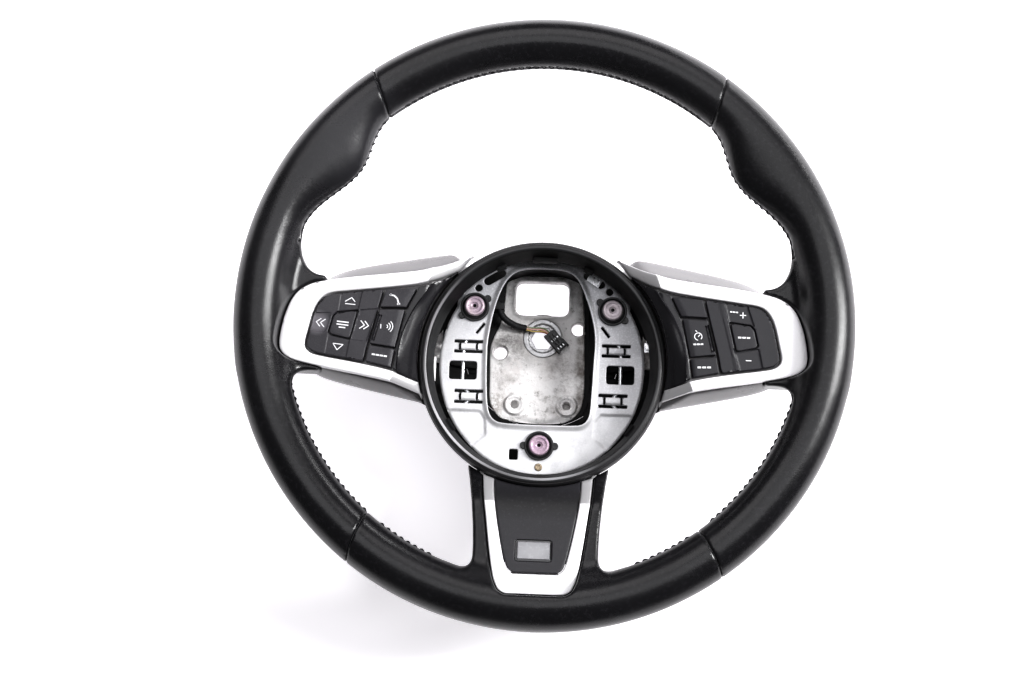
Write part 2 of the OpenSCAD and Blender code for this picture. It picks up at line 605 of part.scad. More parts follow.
// ---------- wiring ----------
// Route of the sleeve and of the bare wires that leave it
sleeve_p = [[-30.4, 21, 24], [-29.6, 18.6, 24.6], [-28.4, 16, 25], [-27.2, 13.6, 25.1],
  [-25.6, 11.4, 24.8], [-23.6, 9.6, 24.3], [-21, 8, 23.5], [-18, 6.7, 22.6], [-14.6, 5.8, 21.7],
  [-11, 5.2, 20.9], [-7.4, 4.8, 20.3], [-4.4, 4.6, 19.9]];
wires_p = [[-4.2, 4.6, 19.9], [-2.6, 4.7, 19.8], [-1, 4.7, 19.6], [0.8, 4.4, 19.4], [2.4, 3.8, 19.2],
  [3.8, 2.9, 19.1]];
function unit(v) = v / norm(v);
function tube_pts(p, r, m) = [for (i = [0 : len(p) - 1]) let (
    d = unit(p[min(i + 1, len(p) - 1)] - p[max(i - 1, 0)]),
    a = unit(cross(d, [0, 0, 1])), b = cross(a, d))
  for (j = [0 : m - 1]) let (t = 360 * j / m) p[i] + r * (cos(t) * a + sin(t) * b)];
module tube(p, r, m) {
  n = len(p) - 1;
  polyhedron(points = tube_pts(p, r, m), convexity = 6, faces = flip(concat(
    [for (i = [0 : n - 1], j = [0 : m - 1]) let (a = i * m + j, b = i * m + (j + 1) % m)
      each [[a, a + m, b + m], [a, b + m, b]]],
    [[for (j = [0 : m - 1]) j]], [[for (j = [m - 1 : -1 : 0]) n * m + j]])));
}
module harness_sleeve() { color("#141416") tube(sleeve_p, 2.2, 10); }
module harness_wires() { color("#c9a23a") tube(wires_p, 1.7, 8); }
module harness_plug() {
  color("#18181a") translate([3.9, 2.9, 18.95]) rotate([0, 0, -47]) {
    difference() {
      translate([0, -4, -2.9]) cube([13.5, 8, 5.8]);
      translate([9.5, -3, -1.9]) cube([5, 6, 3.8]);
    }
    translate([1.5, -1.6, 2.8]) cube([8, 3.2, 1.2]);
    translate([7.5, 4, -2.4]) cube([7, 1.6, 4.8]);
  }
}
module harness_clip() {
  color("#1a1a1c") difference() {
    union() {
      translate([-32.4, 16.3, 16]) cube([7, 4, 10.8]);
      translate([-32.4, 16.3, 26]) cube([7, 4, 2.2]);
    }
    translate([0, 0, 0]) tube([[-30.6, 22.4, 24], [-30.4, 21, 24], [-29.6, 18.6, 24.6], [-28.4, 16, 25], [-27.4, 14.2, 25.1]], 2.35, 10);
  }
}

// ---------- small parts ----------
module blank_label() { color("white") translate([-68, -33.5, 61.45]) cube([3.7, 15, 0.5]); }
module ground_clip() {
  color("#d8d8d8") {
    translate([62.6, -14.8, 61.1]) cube([5.8, 10.4, 0.8]);
    translate([62.6, -13, 61.8]) cube([0.7, 7, 2.6]);
    translate([63.4, -12, 56.5]) cube([0.7, 5, 4.7]);
  }
}
module slot_clip() {
  color("#cfd1d3") translate([31.3, 32.2, plate_z - 0.85]) rotate([0, 0, -32]) {
    translate([-4.4, -4, 0]) cube([8.8, 7, 0.8]);
    translate([-4.4, -1.5, 0]) cube([0.8, 3, 3.8]);
    translate([3, -1.5, 0]) cube([0.8, 3, 4.6]);
  }
}
module screw_boss(p, z0, z1) { translate([p[0], p[1], z0]) cylinder(r = 4.2, h = z1 - z0); }
module screw_at(p, z) {
  translate([p[0], p[1], z]) difference() {
    union() {
      cylinder(r = 2.2, h = 1.8);
      cylinder(r = 1.2, h = 9);
    }
    translate([0, 0, -1]) cylinder(r = 1.1, h = 2, $fn = 6);
  }
}
module cover_screws() {
  color("#6d6e70") for (s = [-1, 1]) screw_at([s * 92, -8], 53);
  color("#6d6e70") screw_at([0, -100], 34.5);
}

armature();
column_socket();
rim_core();
rim_foam();
leather_top();
leather_left();
leather_right();
leather_bottom();
back_cover();
hub_shroud();
bezel_left();
bezel_right();
bezel_bottom();
insert_bottom();
badge_plate();
panel_left();
panel_right();
switch_housing_left();
switch_housing_right();
switch_base_left();
switch_base_right();
switch_board_left();
switch_board_right();
switch_mat_left();
switch_mat_right();
nav_gimbal();
nav_pad();
menu_key();
phone_key();
voice_key();
mode_key();
cruise_rocker();
resume_key();
limiter_key();
cancel_key();
blank_cap();
carrier_plate();
plate_bushings();
horn_springs();
guide_bolts();
plate_rivet();
horn_contact();
latch_wire_left();
latch_wire_right();
harness_sleeve();
harness_wires();
harness_plug();
harness_clip();
blank_label();
ground_clip();
slot_clip();
cover_screws();
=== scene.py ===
"""Car steering wheel: camera, light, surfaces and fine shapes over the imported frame."""

import json
import math

import bpy
import numpy as np
from mathutils import Matrix, Vector
from mathutils.geometry import delaunay_2d_cdt


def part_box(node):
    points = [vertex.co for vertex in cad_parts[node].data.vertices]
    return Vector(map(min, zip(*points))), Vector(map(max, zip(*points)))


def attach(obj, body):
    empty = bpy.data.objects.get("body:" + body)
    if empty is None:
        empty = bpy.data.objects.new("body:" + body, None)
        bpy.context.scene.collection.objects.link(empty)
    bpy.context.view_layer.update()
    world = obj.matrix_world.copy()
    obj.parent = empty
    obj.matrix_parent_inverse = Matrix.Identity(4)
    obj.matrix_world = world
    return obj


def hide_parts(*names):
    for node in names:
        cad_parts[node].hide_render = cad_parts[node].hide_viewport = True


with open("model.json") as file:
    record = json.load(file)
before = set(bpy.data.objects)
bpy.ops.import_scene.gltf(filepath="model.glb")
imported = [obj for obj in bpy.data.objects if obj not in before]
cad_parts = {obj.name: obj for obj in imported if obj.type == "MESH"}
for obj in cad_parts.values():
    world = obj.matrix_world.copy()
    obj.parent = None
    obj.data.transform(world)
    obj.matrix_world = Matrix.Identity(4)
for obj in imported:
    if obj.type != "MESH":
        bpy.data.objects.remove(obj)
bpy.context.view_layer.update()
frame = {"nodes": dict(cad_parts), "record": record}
MM = 0.001
A = np.array

# ------------------------------------------------------------------ camera
TH, PH, ROLL = math.radians(9.3), math.radians(1.3), math.radians(2.15)
TARGET, DIST = A([-18.1, -15.6, 96.0]), 845.6


def place_camera():
    b = A([math.sin(PH), -math.sin(TH) * math.cos(PH), math.cos(TH) * math.cos(PH)])
    b /= np.linalg.norm(b)
    up = A([0.0, 1.0, 0.0]) - b * b[1]
    up /= np.linalg.norm(up)
    right = np.cross(up, b)
    r2 = right * math.cos(ROLL) + up * math.sin(ROLL)
    u2 = -right * math.sin(ROLL) + up * math.cos(ROLL)
    c = (TARGET + b * DIST) * MM
    cam = bpy.data.cameras.new("camera")
    cam.lens, cam.sensor_width = 50.0, 36.0
    cam.clip_start, cam.clip_end = 0.05, 20.0
    ob = bpy.data.objects.new("camera", cam)
    bpy.context.scene.collection.objects.link(ob)
    ob.matrix_world = Matrix(((r2[0], u2[0], b[0], c[0]), (r2[1], u2[1], b[1], c[1]),
                              (r2[2], u2[2], b[2], c[2]), (0, 0, 0, 1)))
    bpy.context.scene.camera = ob


place_camera()

# ------------------------------------------------------------------ shapes from the model's own numbers
RC, RZ, SW, SH = 170.0, 96.0, 15.0, 16.5
GRIP_A, GRIP_S, SEAM = 36.5, 12.5, 54.5
BAY_Y, BAY_R = -25.2, 75.1
TOP_Z = 92.5
PAD_C = A([119.5, -8.0])
BEZ_OUT = A([[44, 40], [67, 27.5], [92, 24], [114, 21.5], [134, 18.3], [143, 15.5], [150.5, 9.5], [155, -1],
             [157.5, -13], [158, -22], [156, -26.5], [151, -30], [142.5, -32.2], [124, -35.6], [102, -39.2],
             [89.5, -41.7], [85.6, -43], [70, -48]], float)
BEZ_IN = A([[52, 29.5], [69.5, 19], [93, 15.5], [118, 12.5], [130, 11], [135, 7], [138.5, 0], [141, -12],
            [143, -21.5], [140, -25.5], [134.5, -27.5], [110, -31], [89.5, -35], [84, -37.3], [70, -41.2]], float)
UB_OUT = A([[33.4, -90], [31.6, -108.5], [30.2, -117], [27.6, -136], [24.6, -153.5], [22.4, -159],
            [20.8, -161.6], [17, -163.4]], float)
UB_IN = A([[26.4, -90], [25.6, -108], [21.6, -130], [18, -146], [16, -150], [13, -151.9]], float)
PAD_OUT = A([[96.9, 14], [118, 11.4], [129.2, 9.9], [133.8, 6.2], [137.2, 0], [139.7, -12], [141.5, -21],
             [139.2, -24.2], [134, -26.1], [109.9, -29.6], [106.8, -30], [105.2, -20], [99.6, 2]], float)
MENU_Q = A([[111, 1], [124, -0.6], [126.4, -3.2], [128.7, -13], [127, -15], [115.2, -17.4]], float)
KEY_UP = A([[76.8, 15.4], [94.9, 14.1], [98.3, 3.2], [82.6, 3.6]], float)
KEY_MID = A([[83.4, 2.2], [98.4, 1.6], [103.5, -19.1], [88.3, -21]], float)
KEY_LOW = A([[88.4, -22.2], [103.8, -20.4], [105.5, -29.9], [90.1, -33.2]], float)
PLATE_OPEN = A([[-34.5, -12], [-33.5, -2], [-31, 12], [-27, 25], [-21.5, 34], [-14, 38], [0, 38.8], [14, 38],
                [21.5, 33], [27, 20], [31.5, 5], [33, -6], [32.3, -20], [31.5, -39], [30.8, -54], [27.5, -59],
                [22, -60.5], [-23, -60.5], [-29.5, -58], [-33, -51.5], [-34.3, -32]], float)
BOLTS = [(-43.2, 12.7), (43.2, 12.7), (0.0, -73.4)]
RIDGE_P, RIDGE_A, RIDGE_S = A([79.0, -7.5]), math.radians(18.2), math.radians(38)
KINK_Y = -110.0


def smin(a, b, k):
    h = np.clip(0.5 + 0.5 * (b - a) / k, 0, 1)
    return b + (a - b) * h - k * h * (1 - h)


def smax(a, b, k):
    return -smin(-a, -b, k)


def sstep(x, a, b):
    t = np.clip((x - a) / (b - a), 0, 1)
    return t * t * (3 - 2 * t)


def side_top(x, y, k=0.8):
    """Height of the face plane of a side spoke, with its ridge, for x > 0."""
    d = (x - RIDGE_P[0]) * math.cos(RIDGE_A) + (y - RIDGE_P[1]) * math.sin(RIDGE_A)
    return TOP_Z + smin(d * math.tan(RIDGE_S), np.zeros_like(d), k)


def bottom_top(x, y, k=0.8):
    """Height of the face plane of the lower spoke, with its ridge."""
    out = 89 - (y - KINK_Y) * math.tan(math.radians(13.5))
    inn = 89 - (y - KINK_Y) * math.tan(math.radians(38))
    return smin(out, inn, k)


def sdpoly(x, y, poly):
    """Signed distance to a closed polygon, negative inside."""
    n = len(poly)
    best = np.full(x.shape, 1e9)
    inside = np.zeros(x.shape, bool)
    for i in range(n):
        ax, ay = poly[i]
        bx, by = poly[(i + 1) % n]
        ex, ey = bx - ax, by - ay
        wx, wy = x - ax, y - ay
        t = np.clip((wx * ex + wy * ey) / (ex * ex + ey * ey + 1e-12), 0, 1)
        best = np.minimum(best, (wx - ex * t) ** 2 + (wy - ey * t) ** 2)
        c = ((ay > y) != (by > y)) & (x < (bx - ax) * (y - ay) / (by - ay + 1e-12) + ax)
        inside ^= c
    d = np.sqrt(best)
    return np.where(inside, -d, d)


def round_corners(poly, r, n=5):
    """Closed polygon with each corner turned into an arc of about radius r."""
    out = []
    m = len(poly)
    for i in range(m):
        p, a, b = poly[i], poly[i - 1], poly[(i + 1) % m]
        u, v = a - p, b - p
        lu, lv = np.linalg.norm(u), np.linalg.norm(v)
        u, v = u / lu, v / lv
        ang = math.acos(float(np.clip(u @ v, -1, 1)))
        if ang > math.radians(176):
            out.append(p)
            continue
        t = min(r / math.tan(ang / 2), lu * 0.48, lv * 0.48)
        p0, p1 = p + u * t, p + v * t
        for j in range(n + 1):
            s = j / n
            out.append((1 - s) ** 2 * p0 + 2 * s * (1 - s) * p + s * s * p1)
    return A(out)


def dense(poly, step, closed=True):
    out = []
    m = len(poly)
    for i in range(m if closed else m - 1):
        a, b = poly[i], poly[(i + 1) % m]
        k = max(1, int(math.ceil(np.linalg.norm(b - a) / step)))
        for j in range(k):
            out.append(a + (b - a) * j / k)
    if not closed:
        out.append(poly[-1])
    return A(out)


def area2(p):
    x, y = p[:, 0], p[:, 1]
    return 0.5 * float(np.sum(x * np.roll(y, -1) - np.roll(x, -1) * y))


def ccw(p):
    return p if area2(p) > 0 else p[::-1]


def inset(p, d):
    """Moves a counter-clockwise closed polygon inwards by d."""
    e0 = p - np.roll(p, 1, 0)
    e1 = np.roll(p, -1, 0) - p
    n0 = np.stack([-e0[:, 1], e0[:, 0]], 1) / (np.linalg.norm(e0, axis=1)[:, None] + 1e-9)
    n1 = np.stack([-e1[:, 1], e1[:, 0]], 1) / (np.linalg.norm(e1, axis=1)[:, None] + 1e-9)
    n = n0 + n1
    n /= (np.linalg.norm(n, axis=1)[:, None] + 1e-9)
    c = np.clip(np.sum(n * n1, axis=1), 0.5, 1)[:, None]
    return p + n * d / c


def circle_pts(c, r, n=40):
    t = np.arange(n) * 2 * math.pi / n
    return np.stack([c[0] + r * np.cos(t), c[1] + r * np.sin(t)], 1)


def mirror_x(v, f):
    v = v.copy()
    v[:, 0] *= -1
    return v, [tuple(reversed(q)) for q in f]


# ------------------------------------------------------------------ mesh helpers
PIECES = {}


def link(name, v, f, body, mat, reps=(), sharp=32, mats=None, face_mat=None):
    me = bpy.data.meshes.new(name)
    v = np.asarray(v, float) * MM
    me.from_pydata(v.tolist(), [], f if isinstance(f, list) else f.tolist())
    me.validate()
    for m in (mats or [mat]):
        me.materials.append(m)
    if face_mat is not None:
        me.polygons.foreach_set("material_index", np.asarray(face_mat, np.int32)[:len(me.polygons)])
    me.polygons.foreach_set("use_smooth", np.ones(len(me.polygons), bool))
    if sharp:
        me.set_sharp_from_angle(angle=math.radians(sharp))
    me.update()
    ob = bpy.data.objects.new(name, me)
    bpy.context.scene.collection.objects.link(ob)
    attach(ob, body)
    if reps:
        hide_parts(*reps)
    PIECES[name] = ob
    return ob


def surface_nets(fn, lo, hi, h, it=4):
    """Quad surface of fn = 0 on a grid of step h, then pulled onto the exact surface."""
    lo, hi = A(lo, float), A(hi, float)
    n = np.ceil((hi - lo) / h).astype(int) + 1
    ax = [lo[i] + h * np.arange(n[i]) for i in range(3)]
    g = np.stack(np.meshgrid(*ax, indexing="ij"), -1)
    fv = fn(g.reshape(-1, 3)).reshape(n)
    s = fv < 0
    cells = tuple(n - 1)
    acc = np.zeros(cells + (3,))
    cnt = np.zeros(cells)
    idx3 = np.stack(np.meshgrid(*[np.arange(k) for k in n], indexing="ij"), -1).astype(float)
    quads = []
    edges = []
    for a in range(3):
        sl0 = [slice(None)] * 3
        sl1 = [slice(None)] * 3
        sl0[a], sl1[a] = slice(0, -1), slice(1, None)
        f0, f1 = fv[tuple(sl0)], fv[tuple(sl1)]
        cross = s[tuple(sl0)] != s[tuple(sl1)]
        t = np.where(cross, f0 / (f0 - f1 + 1e-30), 0)
        pos = idx3[tuple(sl0)].copy()
        pos[..., a] += t
        b, c = [(1, 2), (2, 0), (0, 1)][a]
        for db in (0, 1):
            for dc in (0, 1):
                src = [slice(None)] * 3
                src[b] = slice(db, db + n[b] - 1)
                src[c] = slice(dc, dc + n[c] - 1)
                m = cross[tuple(src)]
                acc += np.where(m[..., None], pos[tuple(src)], 0)
                cnt += m
        edges.append((a, b, c, cross, s[tuple(sl0)]))
    used = cnt > 0
    index = np.full(cells, -1)
    index[used] = np.arange(int(used.sum()))
    v = lo + h * acc[used] / cnt[used][:, None]
    for a, b, c, cross, inside in edges:
        loc = np.argwhere(cross)
        ok = (loc[:, b] > 0) & (loc[:, b] < n[b] - 1) & (loc[:, c] > 0) & (loc[:, c] < n[c] - 1)
        loc = loc[ok]
        ins = inside[tuple(loc.T)]

        def cell(db, dc):
            q = loc.copy()
            q[:, b] -= db
            q[:, c] -= dc
            return index[tuple(q.T)]
        q = np.stack([cell(1, 1), cell(0, 1), cell(0, 0), cell(1, 0)], 1)
        q[~ins] = q[~ins][:, ::-1]
        quads.append(q)
    v = project(fn, v, h, it)
    return v, np.concatenate(quads)


def project(fn, v, h, it):
    e = 0.06
    for _ in range(it):
        f = fn(v)
        g = np.stack([(fn(v + d) - fn(v - d)) / (2 * e) for d in np.eye(3) * e], 1)
        st = f[:, None] * g / (np.sum(g * g, 1)[:, None] + 0.05)
        ln = np.linalg.norm(st, axis=1)[:, None]
        v = v - st * np.minimum(1, 0.6 * h / (ln + 1e-9))
    return v


def slab(outer, holes, zf, depth, r=0.5, grid=1.4, step=0.9, nb=3, creases=(), rings=(), bottom=None):
    """Closed plate: bevelled outline and holes, face at zf, back depth lower (or at bottom)."""
    loops = [ccw(A(outer, float))] + [ccw(A(h, float))[::-1] for h in holes]
    loops = [dense(p, step) for p in loops]
    pts, tris = [], []
    base = 0
    V, F = [], []

    def zb(p):
        z = zf(p[:, 0], p[:, 1])
        return np.full(len(p), bottom) if bottom is not None else z - depth
    inner_ids = []
    inner_pts = []
    for p in loops:
        rows = []
        for k in range(nb + 1):
            th = math.pi / 2 * k / nb
            q = inset(p, r * (1 - math.cos(th)))
            rows.append(np.column_stack([q, zf(q[:, 0], q[:, 1]) - r * (1 - math.sin(th))]))
        rows.insert(0, np.column_stack([p, zb(p)]))
        q = rows[-1][:, :2]
        rows.insert(0, np.column_stack([q, zb(q)]))
        n = len(p)
        for row in rows:
            V.append(row)
        for k in range(len(rows) - 1):
            a = base + k * n
            i = np.arange(n)
            j = (i + 1) % n
            F += list(map(tuple, np.stack([a + i, a + j, a + n + j, a + n + i], 1).tolist()))
        inner_ids.append((base + (len(rows) - 1) * n, base, n))
        inner_pts.append(q)
        base += len(rows) * n
    # the face between the innermost loops
    allp = np.concatenate(inner_pts)
    lo, hi = allp.min(0), allp.max(0)
    gx, gy = np.meshgrid(np.arange(lo[0] + grid / 2, hi[0], grid), np.arange(lo[1] + grid / 2, hi[1], grid), indexing="ij")
    gx = gx + (np.arange(gx.shape[1]) % 2)[None, :] * grid * 0.5
    g = np.stack([gx.ravel(), gy.ravel()], 1)
    extra = [g]
    for lp in loops:
        for d in rings:
            extra.append(inset(lp, r + d))
    g = np.concatenate(extra)

    def sd(q):
        d = sdpoly(q[:, 0], q[:, 1], inner_pts[0])
        for h in inner_pts[1:]:
            d = np.maximum(d, -sdpoly(q[:, 0], q[:, 1], h))
        return d
    g = g[sd(g) < -0.35 * min(grid, 1.0)]
    if len(g):
        key = np.round(g / 0.35).astype(int)
        _, keep = np.unique(key, axis=0, return_index=True)
        g = g[np.sort(keep)]
    cr_pts, cr_edges = [], []
    k0 = len(allp)
    for c in creases:
        q = dense(A(c, float), step, closed=False)
        q = q[sd(q) < -0.2]
        if len(q) > 1:
            cr_edges += [(k0 + len(cr_pts) + i, k0 + len(cr_pts) + i + 1) for i in range(len(q) - 1)
                         if np.linalg.norm(q[i + 1] - q[i]) < step * 1.6]
            cr_pts += q.tolist()
    co = allp.tolist() + cr_pts + g.tolist()
    ed = []
    off = 0
    for q in inner_pts:
        n = len(q)
        ed += [(off + i, off + (i + 1) % n) for i in range(n)]
        off += n
    res = delaunay_2d_cdt([Vector(c) for c in co], ed + cr_edges, [], 0, 1e-5, True)
    nv, tf, orig = res[0], res[2], res[3]
    P = A([[c.x, c.y] for c in nv])
    T = A([list(t) for t in tf if len(t) == 3], int)
    cen = P[T].mean(1)
    d = sdpoly(cen[:, 0], cen[:, 1], inner_pts[0])
    ok = d < 0
    for h in inner_pts[1:]:
        ok &= sdpoly(cen[:, 0], cen[:, 1], h) > 0
    T = T[ok]
    a2 = (P[T[:, 1]] - P[T[:, 0]])
    b2 = (P[T[:, 2]] - P[T[:, 0]])
    flip = a2[:, 0] * b2[:, 1] - a2[:, 1] * b2[:, 0] < 0
    T[flip] = T[flip][:, ::-1]
    # map points on the loops to the rows that exist
    top = np.full(len(P), -1)
    bot = np.full(len(P), -1)
    loop_of = []
    for (t0, b0, n) in inner_ids:
        loop_of += [(t0 + i, b0 + i) for i in range(n)]
    for i, o in enumerate(orig):
        for q in o:
            if q < len(loop_of):
                top[i], bot[i] = loop_of[q]
                break
    new = np.where(top < 0)[0]
    zt = zf(P[new, 0], P[new, 1])
    top[new] = base + np.arange(len(new))
    V.append(np.column_stack([P[new], zt]))
    base += len(new)
    bot[new] = base + np.arange(len(new))
    V.append(np.column_stack([P[new], zb(P[new])]))
    base += len(new)
    F += list(map(tuple, top[T].tolist()))
    F += list(map(tuple, bot[T][:, ::-1].tolist()))
    return np.concatenate(V), F


def join(parts):
    V, F, k = [], [], 0
    for v, f in parts:
        V.append(np.asarray(v, float))
        F += [tuple(int(i) + k for i in q) for q in (f.tolist() if hasattr(f, "tolist") else f)]
        k += len(v)
    return np.concatenate(V), F


def lathe(profile, n=96, c=(0, 0), close=True):
    """Surface of revolution about a vertical axis through c, from (r, z) points."""
    p = A(profile, float)
    t = np.arange(n) * 2 * math.pi / n
    v = np.stack([np.outer(np.cos(t), p[:, 0]) + c[0], np.outer(np.sin(t), p[:, 0]) + c[1],
                  np.broadcast_to(p[:, 1], (n, len(p)))], -1).reshape(-1, 3)
    m = len(p)
    f = []
    for i in range(n):
        for j in range(m if close else m - 1):
            a, b = i * m + j, i * m + (j + 1) % m
            c2, d = ((i + 1) % n) * m + (j + 1) % m, ((i + 1) % n) * m + j
            f.append((a, d, c2, b))
    return v, f


def tube(path, r, m=12, cap=True, closed=False):
    """Round tube along a path; r is a number or one radius for each point."""
    p = A(path, float)
    n = len(p)
    rr = np.broadcast_to(A(r, float), (n,)) if np.ndim(r) else np.full(n, float(r))
    tan = np.gradient(p, axis=0) if not closed else (np.roll(p, -1, 0) - np.roll(p, 1, 0))
    tan /= np.linalg.norm(tan, axis=1)[:, None] + 1e-12
    up = A([0.0, 0.0, 1.0]) if abs(tan[0, 2]) < 0.9 else A([1.0, 0.0, 0.0])
    v = []
    a = np.cross(tan[0], up)
    a /= np.linalg.norm(a)
    for i in range(n):
        a = a - tan[i] * (a @ tan[i])
        a /= np.linalg.norm(a)
        b = np.cross(tan[i], a)
        th = np.arange(m) * 2 * math.pi / m
        v.append(p[i] + rr[i] * (np.outer(np.cos(th), a) + np.outer(np.sin(th), b)))
    v = np.concatenate(v)
    f = []
    for i in range(n if closed else n - 1):
        for j in range(m):
            k = (i + 1) % n
            f.append((i * m + j, i * m + (j + 1) % m, k * m + (j + 1) % m, k * m + j))
    if cap and not closed:
        f.append(tuple(range(m - 1, -1, -1)))
        f.append(tuple((n - 1) * m + j for j in range(m)))
    return v, f


def spline(pts, n):
    """Smooth curve through points, evenly spaced."""
    p = A(pts, float)
    q = np.concatenate([[2 * p[0] - p[1]], p, [2 * p[-1] - p[-2]]])
    out = []
    for i in range(1, len(q) - 2):
        for t in np.arange(0, 1, 1 / 12):
            a, b, c, d = q[i - 1], q[i], q[i + 1], q[i + 2]
            out.append(0.5 * (2 * b + (c - a) * t + (2 * a - 5 * b + 4 * c - d) * t * t + (3 * b - a - 3 * c + d) * t ** 3))
    out.append(p[-1])
    out = A(out)
    s = np.concatenate([[0], np.cumsum(np.linalg.norm(np.diff(out, axis=0), axis=1))])
    u = np.linspace(0, s[-1], n)
    return np.stack([np.interp(u, s, out[:, k]) for k in range(out.shape[1])], 1)


# ------------------------------------------------------------------ surfaces
class Surf:
    """A procedural material on the Principled shader, built step by step in object coordinates."""

    def __init__(self, name, color, rough=0.5, metal=0.0, spec=0.5, coat=0.0, coat_rough=0.1, sheen=0.0, aniso=0.0):
        self.m = bpy.data.materials.new(name)
        self.m.use_nodes = True
        self.t = self.m.node_tree
        self.b = self.t.nodes["Principled BSDF"]
        self.co = self.t.nodes.new("ShaderNodeTexCoord").outputs["Object"]
        self.color, self.rough, self.height = None, None, None
        self.base = color
        i = self.b.inputs
        i["Base Color"].default_value = (*color, 1)
        i["Roughness"].default_value = rough
        i["Metallic"].default_value = metal
        i["Specular IOR Level"].default_value = spec
        i["Coat Weight"].default_value = coat
        i["Coat Roughness"].default_value = coat_rough
        i["Sheen Weight"].default_value = sheen
        i["Anisotropic"].default_value = aniso
        self.r0 = rough

    def n(self, kind, **props):
        n = self.t.nodes.new(kind)
        for k, v in props.items():
            if k in n.inputs:
                n.inputs[k].default_value = v
            else:
                setattr(n, k, v)
        return n

    def link(self, a, b):
        self.t.links.new(a, b)

    def stretched(self, sc):
        mp = self.n("ShaderNodeMapping")
        mp.inputs["Scale"].default_value = sc
        self.link(self.co, mp.inputs["Vector"])
        return mp.outputs["Vector"]

    def noise(self, scale, detail=3.0, rough=0.5, lo=0.35, hi=0.65, vec=None, distort=0.0):
        n = self.n("ShaderNodeTexNoise", Scale=scale, Detail=detail, Roughness=rough, Distortion=distort)
        self.link(vec or self.co, n.inputs["Vector"])
        r = self.n("ShaderNodeMapRange", clamp=True)
        r.inputs["From Min"].default_value, r.inputs["From Max"].default_value = lo, hi
        self.link(n.outputs["Fac"], r.inputs["Value"])
        return r.outputs["Result"]

    def cells(self, scale, lo=0.0, hi=0.5, feature="F1", vec=None, rand=1.0):
        n = self.n("ShaderNodeTexVoronoi", feature=feature, Scale=scale, Randomness=rand)
        self.link(vec or self.co, n.inputs["Vector"])
        r = self.n("ShaderNodeMapRange", clamp=True)
        r.inputs["From Min"].default_value, r.inputs["From Max"].default_value = lo, hi
        self.link(n.outputs["Distance"], r.inputs["Value"])
        return r.outputs["Result"]

    def tint(self, fac, color, amount=1.0):
        """Mixes a colour in where fac is 1."""
        mx = self.n("ShaderNodeMix", data_type="RGBA", blend_type="MIX")
        f = self.n("ShaderNodeMath", operation="MULTIPLY")
        self.link(fac, f.inputs[0])
        f.inputs[1].default_value = amount
        self.link(f.outputs[0], mx.inputs[0])
        if self.color is None:
            mx.inputs[6].default_value = (*self.base, 1)
        else:
            self.link(self.color, mx.inputs[6])
        mx.inputs[7].default_value = (*color, 1)
        self.color = mx.outputs[2]
        return self

    def gloss(self, fac, delta):
        """Adds delta to the roughness where fac is 1."""
        f = self.n("ShaderNodeMath", operation="MULTIPLY_ADD")
        self.link(fac, f.inputs[0])
        f.inputs[1].default_value = delta
        if self.rough is None:
            f.inputs[2].default_value = self.r0
        else:
            self.link(self.rough, f.inputs[2])
        self.rough = f.outputs[0]
        return self

    def bump(self, fac, strength, dist):
        b = self.n("ShaderNodeBump", Strength=strength, Distance=dist)
        self.link(fac, b.inputs["Height"])
        if self.height is not None:
            self.link(self.height, b.inputs["Normal"])
        self.height = b.outputs["Normal"]
        return self

    def near(self, c, r0, r1):
        """1 within r0 of the point c, 0 beyond r1, in metres."""
        d = self.n("ShaderNodeVectorMath", operation="DISTANCE")
        self.link(self.co, d.inputs[0])
        d.inputs[1].default_value = c
        r = self.n("ShaderNodeMapRange", clamp=True)
        r.inputs["From Min"].default_value, r.inputs["From Max"].default_value = r1, r0
        self.link(d.outputs["Value"], r.inputs["Value"])
        return r.outputs["Result"]

    def along(self, axis, a, b):
        """0 at a, 1 at b along an object axis, in metres."""
        sp = self.n("ShaderNodeSeparateXYZ")
        self.link(self.co, sp.inputs[0])
        r = self.n("ShaderNodeMapRange", clamp=True)
        r.inputs["From Min"].default_value, r.inputs["From Max"].default_value = a, b
        self.link(sp.outputs["XYZ".index(axis)], r.inputs["Value"])
        return r.outputs["Result"]

    def times(self, a, b):
        f = self.n("ShaderNodeMath", operation="MULTIPLY")
        self.link(a, f.inputs[0])
        self.link(b, f.inputs[1])
        return f.outputs[0]

    def edges(self, lo=0.515, hi=0.56):
        g = self.n("ShaderNodeNewGeometry")
        r = self.n("ShaderNodeMapRange", clamp=True)
        r.inputs["From Min"].default_value, r.inputs["From Max"].default_value = lo, hi
        self.link(g.outputs["Pointiness"], r.inputs["Value"])
        return r.outputs["Result"]

    def done(self):
        if self.color is not None:
            self.link(self.color, self.b.inputs["Base Color"])
        if self.rough is not None:
            self.link(self.rough, self.b.inputs["Roughness"])
        if self.height is not None:
            self.link(self.height, self.b.inputs["Normal"])
        return self.m


def m_leather():
    s = Surf("leather", (0.0055, 0.0053, 0.0065), 0.32, spec=0.42)
    big = s.noise(9, 2, lo=0.4, hi=0.6)
    s.tint(big, (0.009, 0.0087, 0.0103), 0.7)
    s.tint(s.noise(60, 4, lo=0.5, hi=0.75), (0.005, 0.0048, 0.0058), 0.5)
    s.tint(s.noise(420, 3, lo=0.52, hi=0.7), (0.026, 0.025, 0.029), 0.35)
    # painted highlight: two lighter patches on the upper-left grip and rim, where the lamps' highlight falls
    s.tint(s.near((-0.118, 0.1, 0.105), 0.008, 0.05), (0.024, 0.0235, 0.027), 0.9)
    s.tint(s.near((-0.15, 0.04, 0.1), 0.008, 0.045), (0.018, 0.0175, 0.02), 0.8)
    s.gloss(s.noise(14, 3, lo=0.38, hi=0.62), -0.08)
    s.gloss(s.noise(700, 2, lo=0.4, hi=0.6), 0.02)
    s.bump(s.cells(950, 0.0, 0.55), 0.06, 0.00035)
    s.bump(s.noise(260, 4, lo=0.3, hi=0.7), 0.03, 0.0005)
    s.bump(s.noise(38, 2, lo=0.3, hi=0.7), 0.08, 0.002)
    return s.done()


